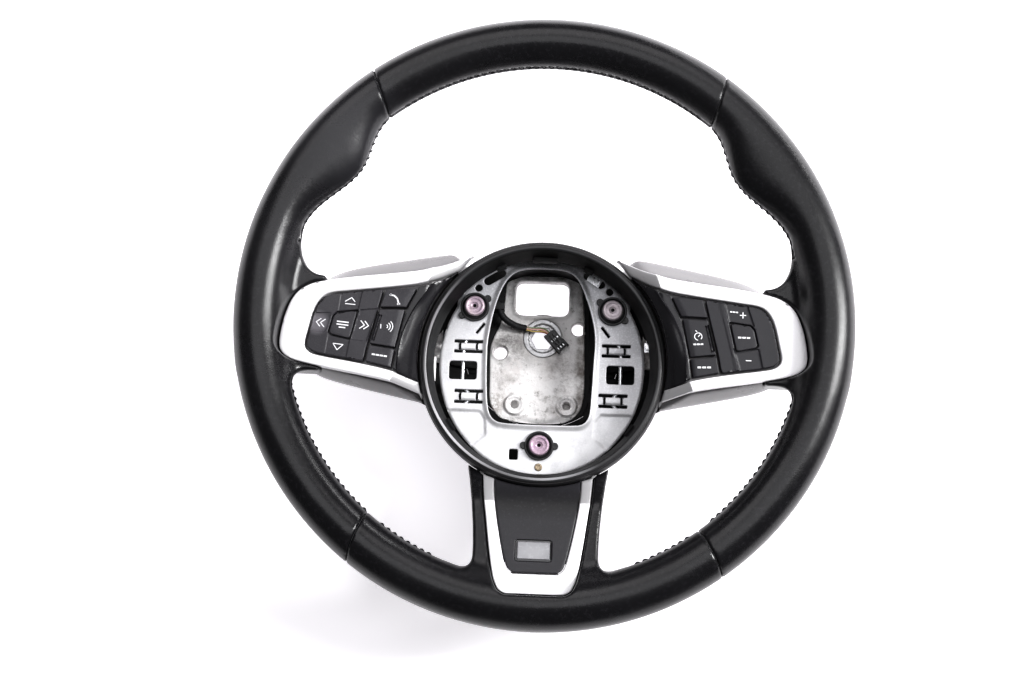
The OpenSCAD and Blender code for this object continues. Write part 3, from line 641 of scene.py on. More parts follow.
def m_thread():
    s = Surf("thread", (0.01, 0.01, 0.012), 0.6, spec=0.25)
    s.bump(s.noise(3500, 2), 0.4, 0.0002)
    s.tint(s.noise(500), (0.024, 0.024, 0.027), 0.5)
    return s.done()


def m_moulded(name, color, rough, light, grain=900, bump=0.25, spec=0.5, coat=0.0):
    s = Surf(name, color, rough, spec=spec, coat=coat, coat_rough=0.15)
    s.tint(s.noise(24, 3, lo=0.4, hi=0.65), light, 0.5)
    s.tint(s.noise(600, 3, lo=0.55, hi=0.7), light, 0.3)
    s.gloss(s.noise(40, 3, lo=0.35, hi=0.65), -0.07)
    s.bump(s.cells(grain, 0.0, 0.6), bump, 0.0002)
    s.bump(s.noise(grain * 2.3, 2, lo=0.3, hi=0.7), bump * 0.6, 0.0001)
    return s.done()


def m_silver(name="silver", k=1.0, metal=0.12):
    s = Surf(name, tuple(c * k for c in (0.9, 0.89, 0.91)), 0.3, metal=metal, spec=0.5, coat=0.25, coat_rough=0.2)
    s.tint(s.noise(1800, 2, lo=0.4, hi=0.7), (0.95 * k, 0.95 * k, 0.96 * k), 0.6)
    s.tint(s.noise(30, 3, lo=0.5, hi=0.75), (0.76 * k, 0.75 * k, 0.76 * k), 0.4)
    s.gloss(s.noise(50, 3, lo=0.4, hi=0.65), 0.07)
    s.tint(s.noise(160, 6, rough=0.7, lo=0.63, hi=0.72), (0.55 * k, 0.54 * k, 0.55 * k), 0.4)
    s.bump(s.noise(2600, 2, lo=0.3, hi=0.7), 0.06, 0.0001)
    return s.done()


def m_zinc():
    s = Surf("zinc", (0.66, 0.66, 0.675), 0.4, metal=0.45, spec=0.5)
    s.tint(s.noise(16, 4, lo=0.4, hi=0.65), (0.76, 0.76, 0.77), 0.7)
    # painted shade: the plate darker towards its top (+y) and towards its right side
    s.tint(s.along("Y", -0.016, 0.034), (0.26, 0.26, 0.285), 0.75)
    s.tint(s.times(s.along("X", -0.02, 0.05), s.along("Y", -0.075, -0.03)), (0.34, 0.34, 0.36), 0.6)
    s.tint(s.noise(90, 6, rough=0.7, lo=0.5, hi=0.72), (0.45, 0.45, 0.47), 0.5)
    s.tint(s.noise(900, 3, lo=0.5, hi=0.7), (0.8, 0.8, 0.82), 0.4)
    v = s.stretched((3.0, 0.22, 1.0))
    s.tint(s.noise(420, 6, rough=0.75, lo=0.64, hi=0.7, vec=v), (0.86, 0.86, 0.87), 0.7)
    v2 = s.stretched((0.35, 3.6, 1.0))
    s.tint(s.noise(330, 5, rough=0.8, lo=0.66, hi=0.71, vec=v2, distort=0.4), (0.3, 0.3, 0.32), 0.5)
    s.gloss(s.noise(70, 5, lo=0.35, hi=0.65), 0.16)
    s.bump(s.noise(1500, 3, lo=0.3, hi=0.7), 0.14, 0.0001)
    s.bump(s.noise(55, 2, lo=0.3, hi=0.7), 0.1, 0.0006)
    return s.done()


def m_cast():
    s = Surf("casting", (0.9, 0.885, 0.88), 0.48, metal=0.1, spec=0.5)
    s.tint(s.noise(22, 5, rough=0.65, lo=0.42, hi=0.62), (0.95, 0.94, 0.94), 0.8)
    s.tint(s.noise(60, 7, rough=0.75, lo=0.52, hi=0.68), (0.3, 0.28, 0.265), 0.75)
    s.tint(s.noise(240, 6, rough=0.8, lo=0.58, hi=0.7), (0.16, 0.145, 0.135), 0.75)
    smudge = s.noise(70, 6, rough=0.8, lo=0.36, hi=0.62)
    s.tint(s.times(s.near((-0.0165, -0.002, 0.016), 0.008, 0.021), smudge), (0.05, 0.042, 0.042), 0.95)
    s.tint(s.near((-0.001, -0.001, 0.016), 0.013, 0.024), (0.4, 0.385, 0.38), 0.55)
    s.tint(s.times(s.near((0.012, -0.014, 0.016), 0.004, 0.02), smudge), (0.2, 0.18, 0.18), 0.7)
    s.tint(s.times(s.near((-0.031, -0.044, 0.016), 0.003, 0.012), s.noise(150, 6, rough=0.8, lo=0.4, hi=0.6)),
           (0.12, 0.075, 0.04), 0.9)
    s.tint(s.times(s.near((0.03, -0.03, 0.016), 0.003, 0.022), s.noise(110, 6, rough=0.8, lo=0.45, hi=0.62)),
           (0.16, 0.13, 0.12), 0.7)
    s.tint(s.times(s.near((-0.016, -0.02, 0.016), 0.0, 0.03), s.noise(45, 5, rough=0.7, lo=0.5, hi=0.6)),
           (0.74, 0.7, 0.69), 0.7)
    s.tint(s.times(s.along("X", 0.0205, 0.0235), s.noise(120, 5, rough=0.7, lo=0.3, hi=0.6)), (0.2, 0.175, 0.16), 0.85)
    s.tint(s.times(s.along("Y", 0.012, 0.03), s.noise(90, 5, rough=0.7, lo=0.35, hi=0.6)), (0.3, 0.29, 0.29), 0.7)
    s.gloss(s.noise(80, 4, lo=0.35, hi=0.65), 0.14)
    s.bump(s.noise(420, 6, rough=0.7, lo=0.3, hi=0.7), 0.4, 0.0006)
    s.bump(s.noise(1600, 3, lo=0.3, hi=0.7), 0.25, 0.0002)
    return s.done()


def m_bolt():
    s = Surf("bolt_head", (0.52, 0.43, 0.47), 0.42, metal=0.55)
    s.tint(s.noise(420, 4, lo=0.42, hi=0.62), (0.66, 0.57, 0.61), 0.8)
    s.tint(s.noise(190, 4, lo=0.45, hi=0.65), (0.4, 0.31, 0.39), 0.7)
    s.tint(s.noise(800, 5, rough=0.7, lo=0.52, hi=0.68), (0.16, 0.12, 0.15), 0.7)
    s.tint(s.near((0.0, -0.0734, 0.056), 0.008, 0.012), (0.36, 0.23, 0.34), 0.45)
    s.tint(s.near((0.0432, 0.0127, 0.056), 0.008, 0.012), (0.55, 0.53, 0.54), 0.5)
    s.gloss(s.noise(600, 3, lo=0.35, hi=0.65), 0.2)
    s.bump(s.noise(1200, 4, lo=0.3, hi=0.7), 0.3, 0.0002)
    return s.done()


def m_steel(name, color, rough=0.3, dark=(0.2, 0.2, 0.21), metal=0.85):
    s = Surf(name, color, rough, metal=metal)
    s.tint(s.noise(380, 5, rough=0.7, lo=0.52, hi=0.7), dark, 0.6)
    s.gloss(s.noise(500, 3, lo=0.35, hi=0.65), 0.15)
    s.bump(s.noise(1900, 3, lo=0.3, hi=0.7), 0.15, 0.0001)
    return s.done()


def m_key():
    s = Surf("key", (0.027, 0.0255, 0.031), 0.42, spec=0.4)
    s.tint(s.noise(30, 3, lo=0.4, hi=0.65), (0.046, 0.044, 0.05), 0.6)
    s.tint(s.noise(1500, 2, lo=0.55, hi=0.7), (0.08, 0.077, 0.085), 0.4)
    s.gloss(s.noise(60, 3, lo=0.4, hi=0.65), -0.07)
    # painted shade: the keys of the right pack (x beyond 60 mm) darker, as they lie out of the light
    s.tint(s.along("X", 0.06, 0.085), (0.014, 0.0135, 0.017), 0.85)
    # painted highlight: the outer arm of the left four-way pad lighter, where it catches the light
    s.tint(s.times(s.near((-0.1355, -0.0075, 0.0905), 0.0035, 0.0085), s.along("X", -0.1262, -0.1285)), (0.2, 0.19, 0.21), 0.75)
    s.bump(s.noise(3000, 2, lo=0.3, hi=0.7), 0.14, 0.0001)
    s.bump(s.cells(1300, 0.0, 0.6), 0.12, 0.00015)
    return s.done()


def m_mark():
    s = Surf("marking", (0.86, 0.86, 0.88), 0.45)
    s.tint(s.noise(2500, 2, lo=0.5, hi=0.7), (0.66, 0.66, 0.69), 0.6)
    s.bump(s.noise(2500, 2), 0.1, 0.0001)
    return s.done()


def m_sleeve():
    s = Surf("tape", (0.006, 0.006, 0.007), 0.5, spec=0.35)
    v = s.stretched((1.0, 1.0, 1.0))
    s.bump(s.cells(1400, 0.0, 0.5, vec=v), 0.5, 0.0003)
    s.bump(s.noise(300, 4, lo=0.3, hi=0.7), 0.4, 0.0005)
    s.tint(s.noise(500, 4, lo=0.5, hi=0.7), (0.02, 0.02, 0.023), 0.5)
    return s.done()


def m_plain(name, color, rough=0.4, light=None, spec=0.5, coat=0.0):
    s = Surf(name, color, rough, spec=spec, coat=coat)
    s.tint(s.noise(300, 3, lo=0.5, hi=0.7), light or tuple(min(1, c * 1.5 + 0.02) for c in color), 0.5)
    s.gloss(s.noise(200, 3, lo=0.35, hi=0.65), 0.08)
    s.bump(s.noise(1500, 3, lo=0.3, hi=0.7), 0.12, 0.0001)
    return s.done()


# painted highlight: dark band on the ring's top edge, lit up in patches at its lower left, bottom and left
def m_painted_ring_highlight():
    s = Surf("ring_painted_highlight", (0.02, 0.02, 0.022), 0.3, spec=0.5)
    s.tint(s.near((-0.05, -0.062, 0.08), 0.012, 0.05), (0.62, 0.61, 0.63), 0.8)
    s.tint(s.near((0.006, -0.086, 0.08), 0.01, 0.03), (0.5, 0.5, 0.52), 0.6)
    s.tint(s.near((-0.066, 0.0, 0.08), 0.004, 0.03), (0.35, 0.34, 0.36), 0.6)
    return s.done()


def m_insert():
    s = Surf("insert", (0.022, 0.0215, 0.025), 0.42, spec=0.4)
    s.tint(s.noise(24, 3, lo=0.4, hi=0.65), (0.03, 0.029, 0.034), 0.5)
    # painted shade: a dark band across the insert around the kink
    s.tint(s.times(s.along("Y", -0.121, -0.113), s.along("Y", -0.1, -0.109)), (0.005, 0.005, 0.006), 0.85)
    s.tint(s.noise(600, 3, lo=0.55, hi=0.7), (0.04, 0.039, 0.044), 0.3)
    s.gloss(s.noise(40, 3, lo=0.35, hi=0.65), -0.07)
    s.bump(s.cells(1500, 0.0, 0.6), 0.12, 0.0002)
    s.bump(s.noise(3400, 2, lo=0.3, hi=0.7), 0.07, 0.0001)
    return s.done()


M = {
    # facet: a darker copy of the silver, painted shade for spoke faces turned away from the light
    "leather": m_leather(), "thread": m_thread(), "silver": m_silver(), "painted_shade_silver": m_silver("silver_painted_shade", 0.68, 0.5), "zinc": m_zinc(), "cast": m_cast(),
    "bolt": m_bolt(), "key": m_key(), "mark": m_mark(), "tape": m_sleeve(),
    "cover": m_moulded("cover", (0.1, 0.096, 0.1), 0.34, (0.14, 0.135, 0.14), 1100, 0.1, coat=0.4),
    "ring": m_moulded("ring", (0.02, 0.0195, 0.021), 0.46, (0.032, 0.031, 0.033), 1000, 0.26, spec=0.4),
    "insert": m_insert(),
    "panel": m_moulded("panel", (0.014, 0.0135, 0.016), 0.3, (0.022, 0.021, 0.024), 1700, 0.07, spec=0.4, coat=0.1),
    "gloss": m_moulded("badge_gloss", (0.012, 0.012, 0.014), 0.16, (0.02, 0.02, 0.023), 2500, 0.03, coat=0.6),
    "ring_painted_highlight": m_painted_ring_highlight(),
    "badge": m_moulded("badge_face", (0.16, 0.16, 0.17), 0.24, (0.5, 0.5, 0.52), 500, 0.05, spec=0.6, coat=0.4),
    "black": m_moulded("black_plastic", (0.013, 0.013, 0.014), 0.42, (0.03, 0.03, 0.032), 1300, 0.2),
    "wire": m_steel("bright_wire", (0.82, 0.83, 0.85), 0.24, (0.4, 0.4, 0.42)),
    "steel": m_steel("machined", (0.46, 0.46, 0.47), 0.36, (0.16, 0.15, 0.15)),
    "brass": m_steel("tarnished", (0.4, 0.33, 0.24), 0.42, (0.14, 0.11, 0.08), 0.8),
    # bay: near-black, painted shade for recesses, holes and the inside of the cover
    "bay": m_moulded("painted_shade_black", (0.006, 0.006, 0.0065), 0.6, (0.012, 0.012, 0.013), 900, 0.2, spec=0.15),
    "label": m_plain("label", (0.86, 0.86, 0.86), 0.45, (0.74, 0.73, 0.73)),
    "yellow": m_plain("wire_yellow", (0.55, 0.42, 0.14), 0.4, (0.75, 0.65, 0.35)),
    "green": m_plain("wire_green", (0.2, 0.27, 0.14), 0.4),
    "pink": m_plain("wire_pink", (0.75, 0.46, 0.44), 0.4),
    "red": m_plain("wire_red", (0.42, 0.14, 0.1), 0.4),
    "board": m_plain("board", (0.04, 0.2, 0.1), 0.4),
    "mat": m_plain("mat", (0.25, 0.25, 0.27), 0.6),
    "natural": m_plain("natural", (0.75, 0.75, 0.72), 0.4),
    "foam": m_plain("foam", (0.12, 0.12, 0.125), 0.8),
}
BY_SLOT = {"cast_magnesium": "cast", "hub_steel": "steel", "foam": "foam", "leather_black": "leather",
           "cover_plastic": "cover", "ring_plastic": "ring", "silver_paint": "silver", "insert_plastic": "insert",
           "badge_black": "gloss", "panel_gloss": "panel", "housing_plastic": "black", "board_green": "board",
           "mat_rubber": "mat", "gimbal_plastic": "natural", "key_rubber": "key", "plate_zinc": "zinc",
           "bushing_plastic": "black", "spring_steel": "steel", "bolt_steel": "bolt", "contact_brass": "brass",
           "wire_steel": "wire", "sleeve_black": "tape", "wire_pvc": "yellow", "plug_black": "black",
           "label_white": "label"}
for part in frame["record"]["subparts"]:
    ob = frame["nodes"].get(part["node"])
    if ob is not None:
        ob.data.materials.clear()
        ob.data.materials.append(M[BY_SLOT[part["material_slot"]]])

# ------------------------------------------------------------------ cord first
SLEEVE = A([[-30.4, 21, 24], [-29.6, 18.6, 24.6], [-28.4, 16, 25], [-27.2, 13.6, 25.1], [-25.6, 11.4, 24.8],
            [-23.6, 9.6, 24.3], [-21, 8, 23.5], [-18, 6.7, 22.6], [-14.6, 5.8, 21.7], [-11, 5.2, 20.9],
            [-7.4, 4.8, 20.3], [-4.4, 4.6, 19.9]], float)
WIRES = A([[-4.2, 4.6, 19.9], [-2.6, 4.7, 19.8], [-1, 4.7, 19.6], [0.8, 4.4, 19.4], [2.4, 3.8, 19.2],
           [3.8, 2.9, 19.1]], float)


def harness():
    p = spline(SLEEVE[:10], 130)
    k = np.arange(len(p))
    r = 2.05 + 0.1 * np.abs(np.sin(k * 0.42)) + 0.03 * np.sin(k * 1.9)
    v, f = tube(p, r, 20)
    plug = PIECES_PLUG()
    thin = []
    for i, (c, dx, dz) in enumerate([("yellow", 1.0, 0.7), ("green", -1.0, 0.7), ("pink", 0.1, 1.15), ("red", 1.25, -0.4),
                                     ("yellow", -0.3, 0.25), ("pink", -1.2, -0.4), ("green", 0.4, -0.9)]):
        w = spline(np.concatenate([SLEEVE[9:10] - [1.6, -0.3, -0.1], SLEEVE[9:], WIRES[1:]]), 44)
        t = np.linspace(0, 1, len(w))
        tan = np.gradient(w, axis=0)
        tan /= np.linalg.norm(tan, axis=1)[:, None]
        side = np.cross(tan, [0, 0, 1.0])
        side /= np.linalg.norm(side, axis=1)[:, None]
        sp = 0.55 + 0.75 * np.sin(t * math.pi) * (0.6 + 0.4 * ((i * 37) % 5) / 5)
        w = w + side * (dx * sp + 0.25 * np.sin(t * 5 + i))[:, None] + np.outer(dz * sp, [0, 0, 1.0])
        thin.append((tube(w, 0.42, 8), c))
    names = ["yellow", "green", "pink", "red"]
    fm = [0] * len(f) + [1 + names.index(c) for (a, b), c in thin for _ in b]
    v, f = join([(v, f)] + [t for t, c in thin])
    sl = link("harness", v, f, "wheel", None, ["harness_sleeve", "harness_wires"],
              mats=[M["tape"]] + [M[c] for c in names], face_mat=fm)


def bevel_box(lo, hi, r=0.3):
    lo, hi = A(lo, float), A(hi, float)
    o = [[lo[0], lo[1]], [hi[0], lo[1]], [hi[0], hi[1]], [lo[0], hi[1]]]
    z1 = hi[2]
    return slab(o, [], lambda x, y: np.full_like(x, z1), z1 - lo[2], r=r, grid=4.0, step=2.0, nb=2)


def place(vf, c, deg=0.0):
    v, f = vf
    a = math.radians(deg)
    rot = A([[math.cos(a), -math.sin(a), 0], [math.sin(a), math.cos(a), 0], [0, 0, 1]])
    return v @ rot.T + A(c, float), f


def PIECES_PLUG():
    bits = [bevel_box((0, -4, -2.9), (13.5, -2.9, 2.9)), bevel_box((0, 2.9, -2.9), (13.5, 4, 2.9)),
            bevel_box((0, -3.3, -2.9), (13.5, 3.3, -1.9)), bevel_box((0, -3.3, -1.9), (9.5, 3.3, 2.2)),
            bevel_box((0, -3.3, 1.9), (4.6, 3.3, 2.9)), bevel_box((6.2, -3.3, 1.9), (7.2, 3.3, 2.9)),
            bevel_box((9.4, -3.3, 1.9), (10.6, 3.3, 2.9)), bevel_box((12.6, -3.3, 1.9), (13.5, 3.3, 2.9)),
            bevel_box((1.5, -1.6, 2.7), (9.5, -0.7, 4)), bevel_box((1.5, 0.7, 2.7), (9.5, 1.6, 4)),
            bevel_box((1.5, -1.6, 2.7), (2.6, 1.6, 3.7)), bevel_box((8.5, 3.9, -2.4), (14.5, 4.6, 1.6)),
            bevel_box((-0.4, -4.0, -1.5), (14.6, -2.5, 3.0), 0.4)]
    v, f = place(join(bits), (3.9, 2.9, 18.95), -47)
    plug = link("plug", v, f, "wheel", M["black"], ["harness_plug"])
    pins = [bevel_box((5.0, y - 0.4, 2.0), (6.1, y + 0.4, 2.5), 0.1) for y in (-2.4, -0.8, 0.8, 2.4)]
    pins += [bevel_box((10.8, y - 0.35, 0.4), (13.2, y + 0.35, 1.1), 0.1) for y in (-2.2, 0, 2.2)]
    v, f = place(join(pins), (3.9, 2.9, 18.95), -47)
    pn = link("plug_contacts", v, f, "wheel", M["wire"])
    pn.parent = plug
    pn.matrix_parent_inverse = Matrix.Identity(4)
    pn.matrix_world = Matrix.Identity(4)
    return plug


harness()


# ------------------------------------------------------------------ leather
def swell(a):
    def bump(d, w):
        return np.where(d >= w, 0, np.cos(np.radians(90 * np.clip(d / w, 0, 1))) ** 2)

    def one(q):
        return np.where(q < GRIP_A, bump(GRIP_A - q, 18), bump(q - GRIP_A, 15))
    q = np.where(a < -180, a + 360, a)
    return GRIP_S * (one(q) + one(180 - q))


def ring_sdf(p, grow=0.0):
    rho = np.hypot(p[:, 0], p[:, 1])
    ang = np.degrees(np.arctan2(p[:, 1], p[:, 0]))
    dr, dz = rho - RC, p[:, 2] - RZ
    sw = swell(ang)
    u = np.clip(-dr / (SW + sw), 0, 1)
    a = np.where(dr < 0, SW + sw, SW) + grow
    b = np.where(dr < 0, SH * (1 - 0.012 * sw * u), SH) + grow
    k1 = np.sqrt((dr / a) ** 2 + (dz / b) ** 2)
    k2 = np.sqrt((dr / a ** 2) ** 2 + (dz / b ** 2) ** 2) + 1e-9
    return k1 * (k1 - 1) / k2


def box2(x, y, x0, x1, y0, y1, r):
    cx, cy, hx, hy = (x0 + x1) / 2, (y0 + y1) / 2, (x1 - x0) / 2 - r, (y1 - y0) / 2 - r
    qx, qy = np.abs(x - cx) - hx, np.abs(y - cy) - hy
    return np.hypot(np.maximum(qx, 0), np.maximum(qy, 0)) + np.minimum(np.maximum(qx, qy), 0) - r


def chaikin(p, it=3):
    p = A(p, float)
    for _ in range(it):
        q = np.empty((2 * (len(p) - 1), 2))
        q[0::2] = p[:-1] * 0.75 + p[1:] * 0.25
        q[1::2] = p[:-1] * 0.25 + p[1:] * 0.75
        p = np.concatenate([p[:1], q, p[-1:]])
    return p


def to_circle(p, r, c=(0.0, BAY_Y)):
    c = A(c)
    d = p - c
    n = np.linalg.norm(d, axis=1)[:, None]
    return np.where(n < r, c + d / n * r, p)


BEZ_POCKET = np.concatenate([chaikin(BEZ_OUT), [[60, -48], [44, 0]]])
UB_FULL = np.concatenate([chaikin(UB_OUT), [[x * -1, y] for x, y in chaikin(UB_OUT)[::-1]]])
LEG_IN = np.concatenate([[[33.6, -80]], UB_OUT[:5] + [0.2, 0]])
LEG_POLY = np.concatenate([[[43.4, -80], [42.2, -90], [40.8, -97], [38.6, -110.7], [37.2, -125], [36.6, -136], [36.6, -160]],
                           [[20, -163]], UB_OUT[::-1][3:] + [0.2, 0], [[33.8, -80]]])


STUB_TOP = np.concatenate([[[134, 5], [166, 5], [164, 40], [156, 50]],
                           chaikin(A([[153, 45.5], [149.9, 37.2], [146.6, 30.2], [142.4, 25.1], [137.6, 22.4], [132.2, 21.5]], float)),
                           [[132.2, 12]]])


def leather_sdf(p):
    x, y, z = np.abs(p[:, 0]), p[:, 1], p[:, 2]
    f = ring_sdf(p)
    near = (x > 118) & (np.abs(y + 8) < 60)
    if near.any():
        xs, ys, zs = x[near], y[near], z[near]
        d2 = smin(box2(xs, ys, 132.2, 172, -36.5, 21.4 - 0.0 * xs, 3.0), sdpoly(xs, ys, STUB_TOP), 1.5)
        top = zs - 92.2
        low = 68.5 - zs
        d = smax(smax(d2, top, 3.0), low, 6.0)
        g = smin(f[near], d, 13.0 - 2.5 * sstep(ys, -4.0, 16.0))
        # pocket round the bezel
        pk = sdpoly(xs, ys, BEZ_POCKET) - 0.55
        f[near] = smax(g, -smax(pk, 84.6 - zs, 0.3), 1.1)
    low = (y < -70) & (x < 62)
    if low.any():
        xs, ys, zs = x[low], y[low], z[low]
        d2 = sdpoly(xs, ys, LEG_POLY)
        t = bottom_top(xs, ys, 2.0)
        d = smax(smax(d2, (zs - t - 0.1) * 0.9, 2.4), (t - 15.0 - zs) * 0.9, 3.0)
        bay = 75.6 - np.hypot(xs, ys - BAY_Y)
        d = smax(d, bay, 0.8)
        g = smin(f[low], d, 9.0)
        pk = sdpoly(xs, ys, UB_FULL) - 0.5
        f[low] = smax(g, -smax(pk, t - 5.0 - zs, 0.3), 1.0)
    # groove of the inner seam
    rho = np.hypot(p[:, 0], p[:, 1])
    ang = np.degrees(np.arctan2(p[:, 1], p[:, 0]))
    rin = RC - SW - swell(ang)
    gd = np.hypot(rho - rin + 0.1, p[:, 2] - RZ) - 1.0
    open_ = (np.abs(np.abs(((ang + 90) % 180) - 90)) > 15) & (np.abs(ang + 90) > 20)
    return np.where(open_, smax(f, -gd, 0.9), f)


SEAMS = {"top": ((54.7, 50.8), (126.1, 129.1)), "bottom": ((-126.3, -129.5), (-54.2, -52.7))}


def seam_d(p, outer, inner):
    """Signed distance past a slanting seam, positive towards larger angles."""
    rho = np.hypot(p[:, 0], p[:, 1])
    ang = np.degrees(np.arctan2(p[:, 1], p[:, 0]))
    t = np.clip((rho - (RC - SW)) / (2 * SW), -1, 1)
    s = inner + (outer - inner) * t
    d = (ang - s + 180) % 360 - 180
    return np.radians(d) * rho


def leather_piece(kind):
    def fn(p):
        f = leather_sdf(p)
        if kind in SEAMS:
            (o0, i0), (o1, i1) = SEAMS[kind]
            a, b = seam_d(p, o0, i0), seam_d(p, o1, i1)
            cut = np.maximum(-a, b) if kind in ("top", "bottom") else None
        else:
            (o0, i0) = SEAMS["bottom"][1] if kind == "right" else SEAMS["top"][1]
            (o1, i1) = SEAMS["top"][0] if kind == "right" else SEAMS["bottom"][0]
            cut = np.maximum(-seam_d(p, o0, i0), seam_d(p, o1, i1))
        return smax(f, cut + 0.15, 1.3)
    return fn


H = 1.25
BOX = {"top": ((-116, 90, 78), (116, 187, 114)), "bottom": ((-118, -187, 52), (118, -88, 114)),
       "right": ((84, -160, 64), (187, 157, 114)), "left": ((-187, -160, 64), (-84, 157, 114))}
for kind in ("top", "bottom", "right", "left"):
    v, q = surface_nets(leather_piece(kind), *BOX[kind], H, it=3)
    v[:, 2] = np.clip(v[:, 2], None, RZ + SH)
    link("skin_" + kind, v, q, "wheel", M["leather"], ["leather_" + kind], sharp=0)


def stitches():
    out = []
    t = 0.0
    k = 0
    while t < 360:
        a = t if t <= 180 else t - 360
        m = abs(abs((a + 90) % 180 - 90))
        if m > 17 and abs(a + 90) > 22 and min(abs(abs(a) - 52), abs(abs(a) - 128)) > 2.2:
            rin = RC - SW - float(swell(A([a]))[0]) + 0.15
            s = 2.0 / rin
            ar = math.radians(a)
            pts = [[(rin + 0.6 * abs(j) - 0.6) * math.cos(ar + s * j * 0.8), (rin + 0.6 * abs(j) - 0.6) * math.sin(ar + s * j * 0.8),
                    RZ + 1.3 * j] for j in (-1, -0.5, 0, 0.5, 1)]
            out.append(tube(pts, [0.22, 0.42, 0.46, 0.42, 0.22], 6))
        t += 4.6 / (RC - SW) * 57.3
        k += 1
    v, f = join(out)
    link("stitching", v, f, "wheel", M["thread"])


stitches()


# ------------------------------------------------------------------ side spokes
def flat(z):
    return lambda x, y: np.full(np.shape(x), float(z))


def u_shape():
    p = np.concatenate([chaikin(BEZ_OUT), chaikin(BEZ_IN)[::-1]])
    return to_circle(dense(p, 0.8), BAY_R + 0.5)


def both_sides(name, vf, mat, nodes, bodies=("wheel", "wheel"), mats=None, face_mat=None):
    v, f = vf
    link(name + "_right", v, f, bodies[1], mat, [nodes[1]] if nodes[1] else [], mats=mats, face_mat=face_mat)
    v, f = mirror_x(v, f)
    link(name + "_left", v, f, bodies[0], mat, [nodes[0]] if nodes[0] else [], mats=mats, face_mat=face_mat)


def bezel_face(x, y):
    """The silver face, rolled down a little towards the keys and the outer edge."""
    d = -sdpoly(x, y, UB)
    return side_top(x, y, 0.5) - 0.55 * np.exp(-np.maximum(d, 0) / 1.1)


UB = inset(ccw(u_shape()), 0.05)
ridge = [[RIDGE_P[0] + math.sin(RIDGE_A) * -t, RIDGE_P[1] + math.cos(RIDGE_A) * t] for t in (-60, 60)]
bz = slab(UB, [], bezel_face, 5.3, r=0.7, grid=1.6, step=0.9, nb=4, rings=(0.6, 1.4, 2.4), creases=[ridge])
bc = A([bz[0][list(q)].mean(0) for q in bz[1]])
bd = (bc[:, 0] - RIDGE_P[0]) * math.cos(RIDGE_A) + (bc[:, 1] - RIDGE_P[1]) * math.sin(RIDGE_A)
# faces beyond the ridge take the darker silver facet: painted shade
both_sides("frame_side", bz, None, ("bezel_left", "bezel_right"), mats=[M["silver"], M["painted_shade_silver"]],
           face_mat=(bd < -0.1).astype(int))

CREASE = A([[67.5, 18.5], [70.9, 12.6], [76.0, 5.2], [79.4, -1.2], [83.5, -11.2], [85.6, -21.2], [86.2, -30.0], [86.4, -36.5]], float)


def crease_side(x, y):
    """Distance from the curved crease, positive on the side of the keys."""
    best, sign = np.full(x.shape, 1e9), np.ones(x.shape)
    c = chaikin(CREASE, 2)
    for a, b in zip(c[:-1], c[1:]):
        e = b - a
        t = np.clip(((x - a[0]) * e[0] + (y - a[1]) * e[1]) / (e @ e), 0, 1)
        dx, dy = x - a[0] - t * e[0], y - a[1] - t * e[1]
        d = np.hypot(dx, dy)
        s = np.where(e[0] * dy - e[1] * dx > 0, 1.0, -1.0)
        m = d < best
        best, sign = np.where(m, d, best), np.where(m, s, sign)
    return best * sign


def panel_face(x, y):
    d = crease_side(x, y)
    z = side_top(x, y, 1.2) - 0.7
    return z - 0.75 * sstep(d, -0.1, 0.9) + 0.5 * np.exp(-(d / 0.6) ** 2) - 0.9 * sstep(-d, 6.2, 8.5)


def panels():
    out = A([[52.2, 27.5], [69.3, 18.1], [75.2, 16.8], [78.6, 9.0], [81.6, 3], [85.0, -9.0], [87.4, -21.5], [88.8, -34],
             [84, -36.6], [70, -40.6], [64, -30], [60, -10], [56, 10], [52, 22]], float)
    p = to_circle(dense(out, 0.8), BAY_R + 0.5)
    c = chaikin(CREASE, 2)
    n = np.gradient(c, axis=0)
    n = np.stack([-n[:, 1], n[:, 0]], 1) / np.linalg.norm(n, axis=1)[:, None]
    cr = [c, c + n * 0.9, c - n * 0.6, c - n * 6.2, c - n * 8.5]
    return slab(p, [], panel_face, 8.0, r=0.3, grid=1.5, step=0.8, nb=2, creases=cr)


both_sides("panel", panels(), M["panel"], ("panel_left", "panel_right"))

# keys -----------------------------------------------------------------------
KZ = 92.0


def seg_side(x, y, a, b):
    """Distance left of the line from a to b."""
    ex, ey = b[0] - a[0], b[1] - a[1]
    return (ex * (y - a[1]) - ey * (x - a[0])) / math.hypot(ex, ey)


def face_up(x, y):
    d = -seg_side(x, y, (82.6, 3.6), (76.8, 15.4))
    return KZ - 0.3 - 1.0 * np.clip(1 - d / 3.2, 0, 1)


def face_mid(x, y):
    d = -seg_side(x, y, (88.3, -21), (83.4, 2.2))
    e = seg_side(x, y, (103.5, -19.1), (98.4, 1.6))
    z = KZ - 0.3 - 1.1 * np.clip(1 - d / 3.3, 0, 1)
    t = ((x - 98.4) * 5.1 + (y - 1.6) * -20.7) / (5.1 ** 2 + 20.7 ** 2)
    inside = (t > 0.14) & (t < 0.9)
    groove = np.where(inside, 1.0, 0.0) * (sstep(e, 0.1, 0.35) - sstep(e, 2.3, 2.6))
    rib = np.where(inside, 1.0, 0.0) * np.exp(-((e - 1.35) / 0.42) ** 4)
    return z - 1.5 * groove + 1.25 * rib


def face_low(x, y):
    d = -seg_side(x, y, (90.1, -33.2), (88.4, -22.2))
    return KZ - 0.3 - 0.9 * np.clip(1 - d / 2.2, 0, 1)


def key_mesh(poly, face, grid=1.1, rc=0.5, creases=(), holes=(), bottom=85.4, r=0.45, rings=(0.5,)):
    p = round_corners(ccw(A(poly, float)), rc, 4)
    return slab(p, [round_corners(ccw(A(h, float)), 1.2, 5) for h in holes], face, 0, r=r, grid=grid, step=0.7, nb=3,
                creases=creases, bottom=bottom, rings=rings)


